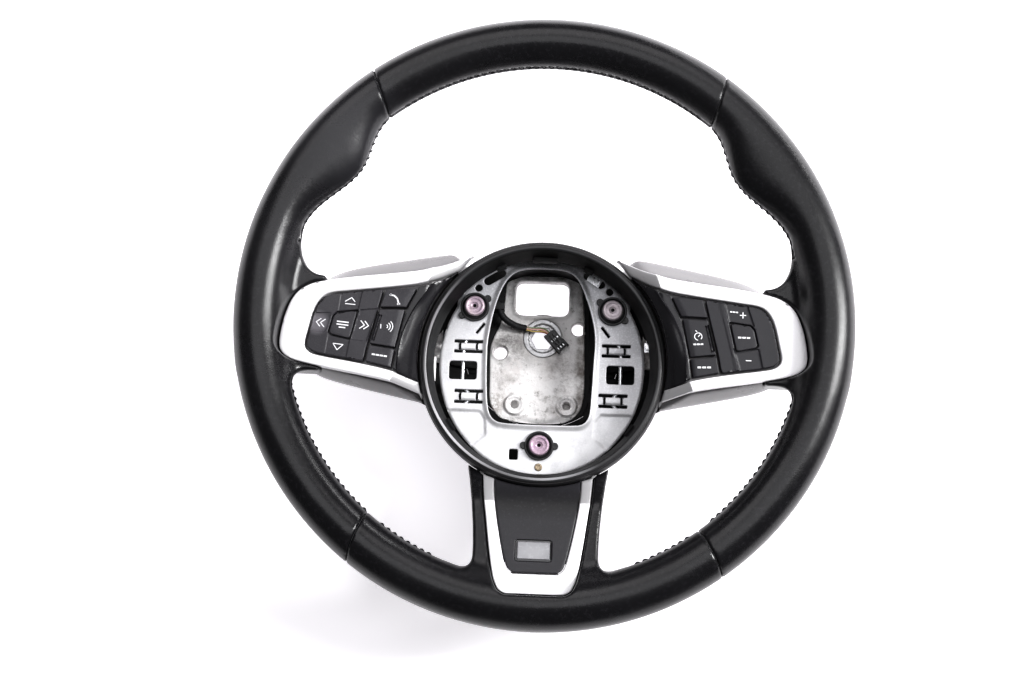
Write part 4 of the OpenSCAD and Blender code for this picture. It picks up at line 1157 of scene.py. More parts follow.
def place_key(name, vf, body, node, left, mat=None):
    v, f = mirror_x(*vf) if left else vf
    v = v.copy()
    return link(name, v, f, body, mat or M["key"], [node])


def stem(c, z0=80.0, z1=86.5):
    return lathe([(0.001, z0), (1.3, z0), (1.5, z0 + 0.3), (1.5, z1), (0.001, z1)], 20, c)


k_up = join([key_mesh(KEY_UP, face_up), stem((88.5, 9))])
e0, e1 = A([98.4, 1.6]), A([103.5, -19.1])
nn = A([-(e1 - e0)[1], (e1 - e0)[0]]) / np.linalg.norm(e1 - e0) * -1
mid_cr = [[e0 + (e1 - e0) * 0.13 + nn * q, e0 + (e1 - e0) * 0.91 + nn * q] for q in (0.1, 0.35, 0.85, 1.05, 1.65, 1.9, 2.3, 2.6)]
k_mid = join([key_mesh(KEY_MID, face_mid, creases=mid_cr, grid=0.9), stem((93.5, -9.5))])
k_low = join([key_mesh(KEY_LOW, face_low), stem((96.8, -26.5))])
place_key("key_phone", k_up, "phone_key", "phone_key", True)
place_key("key_voice", k_mid, "voice_key", "voice_key", True)
place_key("key_mode", k_low, "mode_key", "mode_key", True)
place_key("key_blank", k_up, "wheel", "blank_cap", False)
place_key("key_limiter", k_mid, "limiter_key", "limiter_key", False)
place_key("key_cancel", k_low, "cancel_key", "cancel_key", False)

# four-way pad: a raised face with dished arms between lines through the corners
NAV_LINES = [((121.9, 14.0), (123.7, -1.0)), ((108.6, 15.0), (111.2, 0.8)), ((128.8, -15.0), (130.4, -27.0)),
             ((115.2, -17.0), (117.2, -31.0))]
NAV_LEFT = A([[127.2, -1.0], [136.8, -1.4], [138.8, -12.6], [131.0, -13.4], [129.3, -11.0]], float)
NAV_RIGHT = A([[99.5, 2.2], [110.2, 1.2], [115.0, -17.2], [105.2, -18.2]], float)


def nav_face(x, y):
    z = np.full(np.shape(x), KZ + 0.0)
    up = np.minimum(seg_side(x, y, *NAV_LINES[0]) * -1, seg_side(x, y, *NAV_LINES[1]))
    up = np.where(y > -3, up, -9)
    dn = np.minimum(seg_side(x, y, *NAV_LINES[2]) * -1, seg_side(x, y, *NAV_LINES[3]))
    dn = np.where(y < -13, dn, -9)
    z = z - 0.4 * sstep(up, -0.05, 0.5) - 0.35 * sstep(dn, -0.05, 0.5)
    left = -sdpoly(x, y, NAV_LEFT)
    z = z - np.where(left > -0.1, (0.15 + 0.11 * np.clip(x - 128, 0, 12)) * sstep(left, -0.1, 0.35), 0)
    right = -sdpoly(x, y, NAV_RIGHT)
    z = z - 0.55 * sstep(right, -0.1, 0.5)
    return z


def rocker_face(x, y):
    z = np.full(np.shape(x), KZ + 0.0)
    p0, p1 = (122.4, 11.0), (125.9, 0.4)
    q0, q1 = (129.8, -17.2), (131.9, -27.2)
    a = np.where(y > -1, seg_side(x, y, p0, p1) * -1, -9)
    b = np.where(y < -15, seg_side(x, y, q0, q1) * -1, -9)
    la = np.where(y > -2, seg_side(x, y, (107.9, 12.4), (110.8, -0.4)), -9)
    lb = np.where(y < -15, seg_side(x, y, (115.1, -20.6), (117.2, -28.0)), -9)
    z = z - 0.75 * sstep(np.minimum(a, la), -0.1, 0.9) - 0.75 * sstep(np.minimum(b, lb), -0.1, 0.9)
    band = np.minimum(seg_side(x, y, (107.6, 3.0), (113.4, -20.0)), 9) * 1.0
    z = z - 0.35 * sstep(-band, -0.2, 0.6) * sstep(x, 95, 99)
    return z


def pad(face, lines, outlines=()):
    cr = []
    for a, b in lines:
        a, b = A(a, float), A(b, float)
        n = A([-(b - a)[1], (b - a)[0]]) / np.linalg.norm(b - a)
        cr += [[a - n * 0.06, b - n * 0.06], [a + n * 0.5, b + n * 0.5], [a - n * 0.5, b - n * 0.5]]
    for o in outlines:
        for d in (-0.1, 0.4):
            q = inset(ccw(o), d)
            cr.append(np.concatenate([q, q[:1]]))
    v, f = key_mesh(chaikin(np.concatenate([PAD_OUT, PAD_OUT[:1]]), 1)[:-1], face, holes=[inset(ccw(MENU_Q), -0.15)], rc=1.0,
                    creases=cr, bottom=87.4, grid=0.9, r=0.5)
    floor_ = slab(inset(ccw(MENU_Q), -0.6), [circle_pts(PAD_C, 1.6, 20)], flat(88.4), 1.6, r=0.1, grid=3, step=1.4, nb=1)
    return join([(v, f), floor_])


lug = [bevel_box((117.5, -8 + s * 11.2 - 0.8, 81.0), (121.5, -8 + s * 11.2 + 0.8, 87.9), 0.2) for s in (-1, 1)]
nav = join([pad(nav_face, NAV_LINES, (NAV_LEFT, NAV_RIGHT))] + lug)
place_key("pad_nav", nav, "nav_pad", "nav_pad", True)
hub = lathe([(6.7, 81.3), (9.4, 81.3), (9.6, 81.5), (9.6, 86.9), (6.7, 86.9)], 40, PAD_C)
roc = join([pad(rocker_face, [((122.4, 11.0), (125.9, 0.4)), ((129.8, -17.2), (131.9, -27.2)), ((107.9, 12.4), (110.8, -0.4)),
                              ((115.1, -20.6), (117.2, -28.0)), ((107.6, 3.0), (113.4, -20.0))]), hub,
            tube([[108.2, -8, 82.5], [130.8, -8, 82.5]], 1.0, 12)])
place_key("pad_cruise", roc, "cruise_rocker", "cruise_rocker", False)


def menu_face(x, y):
    d = seg_side(x, y, (115.2, -17.4), (111, 1))
    e = sdpoly(x, y, MENU_Q)
    return KZ + 0.25 - 0.3 * np.exp(-np.maximum(-e, 0) / 0.8) + 0.0 * d


menu = join([key_mesh(inset(ccw(MENU_Q), 0.65), menu_face, rc=1.6, bottom=89.5, r=0.4), stem(PAD_C, 84.0, 89.8)])
place_key("key_menu", menu, "menu_key", "menu_key", True)
resume = join([key_mesh(inset(ccw(MENU_Q), 0.65), menu_face, rc=1.6, bottom=89.5, r=0.4), stem(PAD_C, 85.4, 89.8)])
place_key("key_resume", resume, "resume_key", "resume_key", False)


# light symbols on the keys, drawn as short strokes
def strokes(lines, w, face, lift=0.03, thick=0.05):
    V, F, k = [], [], 0
    for ln in lines:
        p = A(ln, float)
        p = dense(p, 0.45, closed=False)
        t = np.gradient(p, axis=0)
        t /= np.linalg.norm(t, axis=1)[:, None] + 1e-9
        n = np.stack([-t[:, 1], t[:, 0]], 1) * w / 2
        p[0] -= t[0] * w * 0.25
        p[-1] += t[-1] * w * 0.25
        cols = []
        for q, h in ((p - n, 0), (p - n * 0.8, thick), (p + n * 0.8, thick), (p + n, 0)):
            cols.append(np.column_stack([q, face(q[:, 0], q[:, 1]) + lift + h - (0.06 if h == 0 else 0)]))
        m = len(p)
        V += cols
        for c in range(3):
            for i in range(m - 1):
                a, b = k + c * m + i, k + (c + 1) * m + i
                F.append((a, a + 1, b + 1, b))
        F.append((k, k + m, k + 2 * m, k + 3 * m))
        F.append(tuple(reversed((k + m - 1, k + 2 * m - 1, k + 3 * m - 1, k + 4 * m - 1))))
        k += 4 * m
    return np.concatenate(V), F


def at(c, pts, deg=0.0, s=1.0):
    a = math.radians(deg)
    p = A(pts, float) * s
    return np.stack([c[0] + p[:, 0] * math.cos(a) - p[:, 1] * math.sin(a), c[1] + p[:, 0] * math.sin(a) + p[:, 1] * math.cos(a)], 1)


def arc(r, a0, a1, n=14):
    t = np.radians(np.linspace(a0, a1, n))
    return np.stack([r * np.cos(t), r * np.sin(t)], 1)


def symbol(name, lines, w, face, body, left):
    if left:
        lines = [A(q, float) * A([-1, 1]) for q in lines]
    v, f = strokes(lines, w, face)
    if left:
        v, f = mirror_x(v, f)
    link(name, v, f, body, M["mark"])


# left pack, in real coordinates (x negative)
symbol("sym_up", [at((-116.1, 6.3), [[-3.2, -0.6], [0.4, 2.0], [2.6, -0.2]], -4), at((-116.1, 6.3), [[-3.0, -2.0], [2.9, -2.0]], -4)],
       0.62, nav_face, "nav_pad", True)
symbol("sym_down", [at((-122.3, -21.6), [[-3.2, 1.4], [-0.2, -2.2], [3.0, 1.4], [-3.2, 1.4]], -6)], 0.62, nav_face, "nav_pad", True)
chev = [[1.25, 2.35], [-1.35, 0], [1.25, -2.35]]
symbol("sym_prev", [at((-134.9, -7.2), chev, -8), at((-132.3, -7.6), chev, -8)], 0.7, nav_face, "nav_pad", True)
symbol("sym_next", [at((-108.4, -8.1), chev, 172), at((-105.9, -8.4), chev, 172)], 0.7, nav_face, "nav_pad", True)
symbol("sym_menu", [at((-120.2, -8.6), q, -5) for q in ([[-3.4, 1.8], [3.4, 1.8]], [[-3.4, 0.1], [3.4, 0.1]], [[-1.8, -1.6], [1.8, -1.6]])],
       0.85, menu_face, "menu_key", True)
symbol("sym_phone", [at((-89.0, 8.1), q, 0) for q in ([[-3.4, 2.7], [-1.0, 2.2], [0.9, 0.5], [1.9, -2.9]],)], 1.0, face_up, "phone_key", True)
symbol("sym_phone_ends", [at((-89.0, 8.1), q, 0) for q in ([[-3.6, 2.5], [-2.9, 3.0]], [[1.2, -2.9], [2.5, -2.7]])], 1.1, face_up, "phone_key", True)
symbol("sym_voice", [at((-94.0, -8.6), q, 0) for q in
                     (arc(1.0, -60, 60), arc(2.5, -52, 52), arc(4.0, -48, 48))] + [at((-95.0, -8.6), [[-2.2, -1.2], [-2.2, 1.2]], 0)],
       0.62, face_mid, "voice_key", True)
symbol("sym_mode", [at((-97.2, -26.2), [[a, 0], [a + 1.5, 0]], -7) for a in (-4.3, -1.9, 0.5, 2.9)]
       , 1.1, face_low, "mode_key", True)
# right pack
symbol("sym_plus", [at((119.3, 5.4), [[-1.7, 0], [1.7, 0]], 0), at((119.3, 5.4), [[0, -1.7], [0, 1.7]], 0)], 0.65, rocker_face,
       "cruise_rocker", False)
symbol("sym_set", [at((114.0, 7.2), [[a, 0], [a + 0.9, 0]], -4) for a in (-2.2, -0.5, 1.2)], 0.9, rocker_face, "cruise_rocker", False)
symbol("sym_minus", [at((122.9, -21.9), [[-1.5, 0], [1.5, 0]], 0)], 0.6, rocker_face, "cruise_rocker", False)
symbol("sym_resume", [at((119.9, -8.3), [[a, 0], [a + 1.5, 0]], 0) for a in (-3.3, -0.7, 1.9)], 1.1, menu_face, "resume_key", False)
symbol("sym_dial", [at((92.8, -8.4), arc(2.2, 20, 325, 26), -60), at((92.8, -8.4), [[0, 0], [1.1, 1.2]], 0),
                    at((91.6, -5.2), [[-0.5, 0.4], [0.4, -0.3]], 0)], 0.55, face_mid, "limiter_key", False)
symbol("sym_limit", [at((92.9, -13.1), [[a, 0], [a + 1.2, 0]], 3) for a in (-2.7, -0.6, 1.5)], 1.0, face_mid, "limiter_key", False)
symbol("sym_cancel", [at((96.6, -26.9), [[a, 0], [a + 1.6, 0]], 2) for a in (-3.7, -0.8, 2.1)], 1.15, face_low, "cancel_key", False)

# ------------------------------------------------------------------ lower spoke
BADGE_C = A([-1.2, -138.4])
f_out = dense(np.concatenate([chaikin(UB_OUT), (chaikin(UB_OUT) * A([-1, 1]))[::-1], (chaikin(UB_IN) * A([-1, 1])), chaikin(UB_IN)[::-1]]), 0.8)
f_out = inset(ccw(to_circle(f_out, BAY_R + 0.5)), 0.05)


def lower_face(x, y):
    d = -sdpoly(x, y, f_out)
    return bottom_top(x, y, 0.5) - 0.5 * np.exp(-np.maximum(d, 0) / 1.1)


v, f = slab(f_out, [], lower_face, 5.4, r=0.7, grid=1.6, step=0.9, nb=4, rings=(0.6, 1.4, 2.4), creases=[[[-40, KINK_Y], [40, KINK_Y]]])
bc = A([v[list(q)].mean(0) for q in f])
# faces above the kink take the darker silver facet: painted shade
link("frame_lower", v, f, "wheel", None, ["bezel_bottom"], mats=[M["silver"], M["painted_shade_silver"]],
     face_mat=(bc[:, 1] > KINK_Y + 0.1).astype(int))
INS = A([[25.9, -88], [25.1, -108], [21.2, -130], [17.6, -145.6], [15.8, -149.4], [12.9, -151.2]], float)
i_out = dense(np.concatenate([chaikin(INS), (chaikin(INS) * A([-1, 1]))[::-1]]), 0.9)
i_out = to_circle(i_out, BAY_R + 0.5)


def insert_face(x, y):
    z = bottom_top(x, y, 4.0) - 0.9
    e = -sdpoly(x, y, i_out)
    return z - 0.3 * np.exp(-np.maximum(e, 0) / 0.7)


def rrect(c, w, h, r, n=6):
    return round_corners(A([[c[0] - w / 2, c[1] - h / 2], [c[0] + w / 2, c[1] - h / 2], [c[0] + w / 2, c[1] + h / 2],
                            [c[0] - w / 2, c[1] + h / 2]], float), r, n)


v, f = slab(i_out, [rrect(BADGE_C, 21.6, 12.6, 2.0)], insert_face, 5.0, r=0.5, grid=1.6, step=0.9, nb=3, rings=(0.7, 1.6),
            creases=[[[-40, KINK_Y], [40, KINK_Y]], [[-40, KINK_Y - 3], [40, KINK_Y - 3]], [[-40, KINK_Y + 3], [40, KINK_Y + 3]]])
link("insert", v, f, "wheel", M["insert"], ["insert_bottom"])


def badge_face(x, y):
    d = -sdpoly(x, y, rrect(BADGE_C, 21.4, 12.4, 1.9))
    return bottom_top(x, y) - 1.7 + 0.9 * sstep(d, 1.0, 1.5)


v, f = slab(rrect(BADGE_C, 21.4, 12.4, 1.9), [], badge_face, 2.2, r=0.25, grid=1.2, step=0.8, nb=2, rings=(0.8, 1.0, 1.3, 1.6))
gc = A([v[list(q)].mean(0) for q in f])
rim = (-sdpoly(gc[:, 0], gc[:, 1], rrect(BADGE_C, 21.4, 12.4, 1.9)) > 1.05) & (gc[:, 2] > bottom_top(gc[:, 0], gc[:, 1]) - 1.6)
link("badge", v, f, "wheel", None, ["badge_plate"], mats=[M["gloss"], M["badge"]], face_mat=rim.astype(int))

# ------------------------------------------------------------------ ring round the bay
prof = [(75.1, 68), (75.1, 75.6), (74.9, 77.0), (74.4, 78.3), (73.7, 79.3), (73.4, 79.1), (73.1, 79.15), (72.9, 79.9), (72.5, 80.2), (71.5, 80.5), (70.6, 80.5),
        (70.0, 80.2), (69.6, 79.6), (69.4, 78.6), (69.2, 77.0), (68.2, 70.0), (66.9, 64.0), (66.6, 62.0), (68.6, 62.0),
        (70.4, 76.0), (72.4, 77.4), (72.7, 68)]
v, f = lathe(prof, 200, (0, BAY_Y))
tabs = []
for a, w, z in ((90, 15, 68), (66, 6, 67), (114, 6, 67), (-35, 8, 66), (-145, 8, 66)):
    ar = math.radians(a)
    c = A([66.2 * math.cos(ar), BAY_Y + 66.2 * math.sin(ar), 0])
    tabs.append(place(bevel_box((-w / 2, -0.9, 60), (w / 2, 1.2, z), 0.3), c, a - 90))
v, f = join([(v, f)] + tabs)
rc = A([v[list(q)].mean(0) for q in f])
# the ring's inner wall takes the near-black bay: painted shade
inner = (np.hypot(rc[:, 0], rc[:, 1] - BAY_Y) < 69.75) & (rc[:, 2] < 79.8)
rr = np.hypot(rc[:, 0], rc[:, 1] - BAY_Y)
inner = inner.astype(int)
# the thin band on the top edge takes the painted highlight
inner[(rr > 70.0) & (rr < 71.5) & (rc[:, 2] > 80.0)] = 2
link("ring", v, f, "wheel", None, ["hub_shroud"], sharp=40, mats=[M["ring"], M["bay"], M["ring_painted_highlight"]], face_mat=inner)

# ------------------------------------------------------------------ horn plate
PO = round_corners(dense(chaikin(np.concatenate([PLATE_OPEN, PLATE_OPEN[:1]]), 2)[:-1], 1.2), 1.0, 1)
PO = ccw(PO)


def plate_outline():
    p = []
    for i in range(180):
        a = math.radians(i * 2)
        s, c = math.sin(a), math.cos(a)
        y = -23.6 + (69.3 if s > 0 else 68.6) * s
        up = sstep(A(y), 11.6, 12.6)
        p.append([(67 - 2.8 * (1 - float(up))) * c if y < 11.6 or y > 12.6 else 65.5 * c, y])
    p = A(p)
    q = []
    for x, y in p:
        if 12.2 < y < 23 and abs(x) > 54.5:
            x = math.copysign(54.5, x)
        q.append([x, y])
    return ccw(A(q))


PADS = [round_corners(ccw(A([[s * 41, -74.3], [s * 33.2, -67.8], [s * 34.2, -57.5], [s * 37.2, -52.6], [s * 58.8, -52.4], [s * 56.5, -60],
                             [s * 53.5, -66], [s * 47.5, -73.8]], float)), 3.0, 5) for s in (-1, 1)]
BRIDGES = [(s, 46.3, -12.35) for s in (-1, 1)] + [(s, 45.0, -43.9) for s in (-1, 1)]
SQW = [rrect((s * 49.2, -27.5), 17.4, 11.6, 2.0) for s in (-1, 1)]


def groove(x, y, cx, cy):
    """The two short grooves across a pressed bridge, also the mask for their painted shade."""
    g = (np.abs(np.abs(x - cx) - 5.3) < 0.75) & (np.abs(y - cy) < 2.3)
    return np.where(g, 1.0, 0.0)


def plate_face(x, y):
    z = np.full(np.shape(x), 50.0)
    d = sdpoly(x, y, PO)
    z = z + 1.5 * (1 - sstep(d, 0.2, 4.0)) ** 1.3
    for pd in PADS:
        z = z - 0.8 * (1 - sstep(sdpoly(x, y, pd), -1.3, 0.9))
    for s, cx, cy in BRIDGES:
        e = box2(x, y, s * cx - 6.2, s * cx + 6.2, cy - 2.1, cy + 2.1, 0.4)
        w = (1 - sstep(e, -0.9, 0.3)) * (0.35 + 0.65 * np.sqrt(np.clip(1 - ((y - cy) / 2.5) ** 2, 0, 1)))
        z = z + 0.5 * w - 1.3 * groove(x, y, s * cx, cy)
    o = sdpoly(x, y, PLATE_OUT)
    z = z - 0.55 * sstep(o, -1.3, 0.0)
    return z


PLATE_OUT = plate_outline()


def plate():
    holes = [PO]
    for b in BOLTS:
        holes.append(circle_pts(b, 8.25, 48))
    for s in (-1, 1):
        for y in (-9.2, -15.5):
            holes.append(rrect((s * 46.3, y), 18, 1.9, 0.5, 2))
        for y in (-40.5, -47.3):
            holes.append(rrect((s * 45, y), 18, 1.9, 0.5, 2))
        holes.append(circle_pts((s * 41.3, 25.2), 2.3, 28))
        a = math.radians(-32 * s)
        c = A([s * 31.4, 32.5])
        q = np.concatenate([arc(2.7, -90, 90, 12) + A([4.9, 0]), arc(2.7, 90, 270, 12) + A([-4.9, 0])])
        rot = A([[math.cos(a), math.sin(a)], [-math.sin(a), math.cos(a)]])
        holes.append(q @ rot + c)
        holes.append(at((s * 39.3, -0.6), A([[-4, -0.85], [4, -0.85], [4, 0.85], [-4, 0.85]]), s * -52))
    holes += SQW
    holes.append(rrect((-15.75, -79.1), 5.5, 6.6, 1.2))
    cr = [np.concatenate([inset(ccw(p), d), inset(ccw(p), d)[:1]]) for p in PADS for d in (-1.1, 0.2, 1.5)]
    for s, cx, cy in BRIDGES:
        for k in (-1, 1):
            for w in (0.7, 0.8):
                q = rrect((s * cx + k * 5.3, cy), 2 * w, 4.6 + 2 * (w - 0.75), 0.1, 1)
                cr.append(np.concatenate([q, q[:1]]))
    return slab(PLATE_OUT, holes, plate_face, 2.0, r=0.35, grid=1.15, step=0.9, nb=3, rings=(0.5, 1.1, 1.9, 2.8), creases=cr)


v, f = plate()
v[:, 2] = np.minimum(v[:, 2], 52.35)
pc = A([v[list(q)].mean(0) for q in f])
# groove faces take the near-black bay: painted shade
dark = np.zeros(len(pc))
for sd, cx, cy in BRIDGES:
    dark = np.maximum(dark, groove(pc[:, 0], pc[:, 1], sd * cx, cy) * (pc[:, 2] > 48))
link("plate", v, f, "horn_plate", None, ["carrier_plate"], sharp=38, mats=[M["zinc"], M["bay"]], face_mat=dark.astype(int))


def bushing(b):
    prof = [(5.15, 47.2), (8.9, 47.2), (8.9, 47.9), (8.1, 48.0), (8.1, 50.1), (9.0, 50.15), (9.15, 50.6), (9.05, 52.0),
            (8.7, 52.4), (8.1, 52.45), (7.6, 52.1), (6.9, 51.2), (5.2, 51.1)]
    parts = [lathe(prof, 64, b)]
    for a in (35, 215):
        ang = a if b[0] < 0 else (180 - a if b[0] > 0 else a - 35)
        ar = math.radians(ang)
        c = (b[0] + 9.6 * math.cos(ar), b[1] + 9.6 * math.sin(ar))
        parts.append(lathe([(0.001, 50.1), (2.2, 50.1), (2.3, 50.4), (2.3, 51.6), (2.0, 51.9), (0.9, 51.9), (0.001, 51.7)], 28, c))
    return parts


v, f = join([p for b in BOLTS for p in bushing(b)])
link("bushings", v, f, "horn_plate", M["black"], ["plate_bushings"], sharp=40)


def bolt(b):
    z = 52.55
    prof = [(0.001, 28), (3.2, 28), (3.5, 28.4), (3.5, 40), (5.0, 40.05), (5.0, z), (5.9, z), (6.3, z + 0.35), (6.3, z + 2.7),
            (6.1, z + 3.2), (5.7, z + 3.55), (5.3, z + 3.62), (4.7, z + 3.6), (4.35, z + 3.35), (4.1, z + 3.22), (3.0, z + 3.3),
            (2.3, z + 3.25), (2.0, z + 2.95), (1.15, z + 2.75), (1.0, z + 1.4), (0.001, z + 1.3)]
    return lathe(prof, 56, b)


v, f = join([bolt(b) for b in BOLTS])
# the sockets in the bolt heads take the near-black bay: painted shade
bc = A([v[list(q)].mean(0) for q in f])
br = np.min([np.hypot(bc[:, 0] - b[0], bc[:, 1] - b[1]) for b in BOLTS], 0)
link("bolts", v, f, "wheel", None, ["guide_bolts"], sharp=35, mats=[M["bolt"], M["bay"]],
     face_mat=((br < 1.1) & (bc[:, 2] > 50)).astype(int))
v, f = lathe([(0.001, 47.1), (2.0, 47.1), (2.2, 47.3), (2.2, 48), (1.35, 48), (1.35, 50), (2.4, 50.02), (2.35, 50.5), (2.0, 50.85),
              (1.5, 50.9), (1.2, 50.6), (0.6, 50.5), (0.001, 50.6)], 36, (0, -86.6))
link("rivet", v, f, "horn_plate", M["brass"], ["plate_rivet"], sharp=35)

WIRE_P = A([[43.8, 2.4], [44.6, 0], [47.2, -6.4], [48.6, -10], [49.4, -15], [49.4, -24], [49.4, -33], [48.6, -37], [45, -42],
            [44.2, -44.4], [45.8, -46.8], [50.2, -50.8]], float)
w3 = spline(np.column_stack([WIRE_P, np.full(len(WIRE_P), 46.2)]), 90)
v, f = tube(w3, 1.08, 14)
link("latch_right", v, f, "latch_right", M["wire"], ["latch_wire_right"])
v, f = mirror_x(v, f)
link("latch_left", v, f, "latch_left", M["wire"], ["latch_wire_left"])


# ------------------------------------------------------------------ hub casting
FLOOR_OUT = chaikin(A([[-33.6, -30], [-33.4, -43], [-29, -50.5], [-24, -54.6], [-14, -55.6], [0, -56.4], [14, -55.6], [20, -53], [25, -48.5],
                       [27.9, -40], [28.1, -26], [27.6, -10], [27.1, 8], [26.5, 22], [24.6, 36], [20, 41.2], [-19.5, 41], [-25, 37],
                       [-25.6, 23], [-27.4, 9], [-30.5, 3], [-34.2, -6], [-33.9, -20], [-33.6, -30]], float), 2)[:-1]


def casting():
    parts = []
    fl = FLOOR_OUT
    win = rrect((-0.9, 26.0), 34.6, 22.6, 5.5, 6)

    def top(x, y):
        z = np.full(np.shape(x), 16.0)
        r = np.hypot(x, y)
        z = z - 0.5 * sstep(r, 17.0, 14.5) + 0.9 * (1 - sstep(np.abs(r - 15.2), 0.6, 1.6)) * 0.4
        z = z + 1.2 * (1 - sstep(sdpoly(x, y, win), 0.8, 3.2))
        z = z + 0.5 * np.exp(-((y + 51.5 + 1.4 * np.cos(x / 5.2)) / 0.8) ** 2)
        z = z - 0.9 * (1 - sstep(y + 53.5 + 1.4 * np.cos(x / 5.2), -1.6, 0.6))
        for s in (-1, 1):
            rr = np.hypot(x - s * 16.8, y + 44.1)
            z = z + 2.0 * (1 - sstep(rr, 6.0, 7.4)) - 0.7 * (1 - sstep(rr, 4.0, 5.0))
        z = z + 0.5 * np.exp(-((np.hypot(x + 27.2, y + 10.3) - 5.2) / 0.6) ** 2)
        return z
    holes = [win, circle_pts((0, 0), 12.65, 72), circle_pts((-27.2, -10.3), 4.4, 36), circle_pts((23, 6.6), 4.4, 36)]
    holes += [circle_pts((s * 16.8, -44.1), 2.65, 30) for s in (-1, 1)]
    cr = [circle_pts((s * 16.8, -44.1), r, 40) for s in (-1, 1) for r in (4.0, 5.0, 6.0, 6.7, 7.4)]
    cr = [np.concatenate([c, c[:1]]) for c in cr]
    parts.append(slab(fl, holes, top, 0, r=0.9, grid=1.3, step=1.0, nb=3, rings=(0.8, 1.6), creases=cr, bottom=8.0))
    parts.append(lathe([(12.65, 0), (16.7, 0), (17, 0.4), (17, 9), (12.65, 9)], 64))
    for s in (-1, 1):
        parts.append(lathe([(2.65, 0), (5.9, 0), (6.1, 0.3), (6.1, 9), (2.65, 9)], 36, (s * 16.8, -44.1)))
        parts.append(lathe([(0.001, 0), (4.3, 0), (4.5, 0.3), (4.5, 9), (0.001, 9)], 28, (s * 26, 29)))
    for s in (-1, 1):
        parts.append(lathe([(0.001, 5.5), (2.75, 5.5), (2.75, 7.2), (0.001, 7.5)], 30, (s * 16.8, -44.1)))
    for b in BOLTS:
        z0 = 27 if b[0] == 0 else 20
        parts.append(lathe([(3.55, z0), (8, z0), (8, 39.5), (7.6, 40), (3.55, 40)], 40, b))
    parts.append(lathe([(1.55, 30), (4.5, 30), (4.5, 40.7), (4.2, 41), (1.55, 41)], 28, (0, -86.6)))

    def prism(poly, y0, y1, axis):
        p = ccw(round_corners(A(poly, float), 1.5, 3))
        v, f = slab(p, [], flat(y1), y1 - y0, r=0.8, grid=4.0, step=2.5, nb=2)
        if axis == "y":
            return np.stack([v[:, 0], y0 + y1 - v[:, 2], v[:, 1]], 1), f
        return np.stack([v[:, 2], v[:, 0], v[:, 1]], 1), f
    arm = [[27, 8], [40, 8.6], [72, 36], [84, 58], [126, 60], [147, 68.5], [160, 78], [164, 84], [164, 90], [160, 85.5], [146, 75],
           [124, 66], [80, 64], [67, 42], [38, 15.1], [27, 15.1]]
    low = [[-44, 8], [-52, 8], [-102, 41], [-112, 57], [-142, 68], [-160, 78], [-164, 84], [-164, 90], [-160, 85.5], [-140, 75],
           [-107, 63.5], [-98, 43.6], [-57, 15.1], [-44, 15.1]]
    parts.append(prism(arm, -22, 1.5, "y"))
    arm = [[max(x, 32.4), z] for x, z in arm]
    parts.append(mirror_x(*prism(arm, -22, 6, "y")))
    parts.append(prism(low, -14, 14, "x"))
    return join(parts)


v, f = casting()
cc = A([v[list(q)].mean(0) for q in f])
cn = A([np.cross(v[q[1]] - v[q[0]], v[q[2]] - v[q[0]])[2] for q in f])
# faces of the arms under the plate and outside the floor take the near-black bay: painted shade
shade = ((np.abs(cc[:, 0]) > 36) | (cc[:, 1] < -57.5)) & (cn > 0) & (cc[:, 2] < 39) | \
    (sdpoly(cc[:, 0], cc[:, 1], FLOOR_OUT) > 0.05) & (cc[:, 2] < 39)
link("casting", v, f, "wheel", None, ["armature"], sharp=35, mats=[M["cast"], M["bay"]], face_mat=shade.astype(int))
hexa = A([[7.9 * math.cos(math.radians(a)), 7.9 * math.sin(math.radians(a))] for a in range(0, 360, 60)])
v1 = slab(circle_pts((0, 0), 12.5, 72), [round_corners(ccw(hexa), 0.6, 3)], lambda x, y: 15.3 - 0.9 * (1 - sstep(np.hypot(x, y), 9.0, 9.8)),
          0, r=0.4, grid=1.0, step=0.8, nb=3, bottom=6.0, rings=(0.6, 1.2, 1.9, 2.6))
v2 = lathe([(9.0, 0.2), (12.5, 0.2), (12.5, 6.1), (9.0, 6.1)], 64)
v, f = join([v1, v2])
link("socket", v, f, "wheel", M["steel"], ["column_socket"], sharp=35)


# ------------------------------------------------------------------ back cover
def hull_planes(layers):
    import bmesh
    bm = bmesh.new()
    for z, poly in layers:
        for x, y in poly:
            bm.verts.new((x, y, z))
    bmesh.ops.convex_hull(bm, input=bm.verts)
    bm.normal_update()
    pl = {}
    for fc in bm.faces:
        n = fc.normal
        d = n.dot(fc.verts[0].co)
        pl[(round(n.x, 2), round(n.y, 2), round(n.z, 2), round(d, 0))] = (n.x, n.y, n.z, d)
    bm.free()
    return A(list(pl.values()))


def hull_sdf(p, pl, k=1.6):
    d = p @ pl[:, :3].T - pl[:, 3]
    m = d.max(1)
    return m + k * np.log(np.exp((d - m[:, None]) / k).sum(1)) - k * 0.6


SIDE_H = hull_planes([(20, [[28, 22], [62, 16], [62, -30], [28, -40]]),
                      (55, [[50, 34], [112, 24], [124, 6], [124, -22], [112, -34], [50, -46]]),
                      (68, [[56, 44], [90, 39], [127, 30], [142, 20], [149, -6], [147, -28], [136, -39.5], [110, -43.5], [86, -48], [62, -54]]),
                      (86, [[60, 30], [92, 23.4], [134, 17.7], [149, 8], [153, -12], [152, -26], [142, -31.6], [102, -38.6], [74, -46]])])
LOW_H = hull_planes([(13, [[-24, -30], [24, -30], [24, -64], [-24, -64]]), (27, [[-28, -40], [28, -40], [24, -94], [-24, -94]]),
                     (53, [[-36, -60], [36, -60], [27, -126], [-27, -126]]), (68, [[-41, -70], [41, -70], [35.5, -140], [-35.5, -140]]),
                     (77, [[-39, -80], [39, -80], [34.5, -147], [-34.5, -147]])])


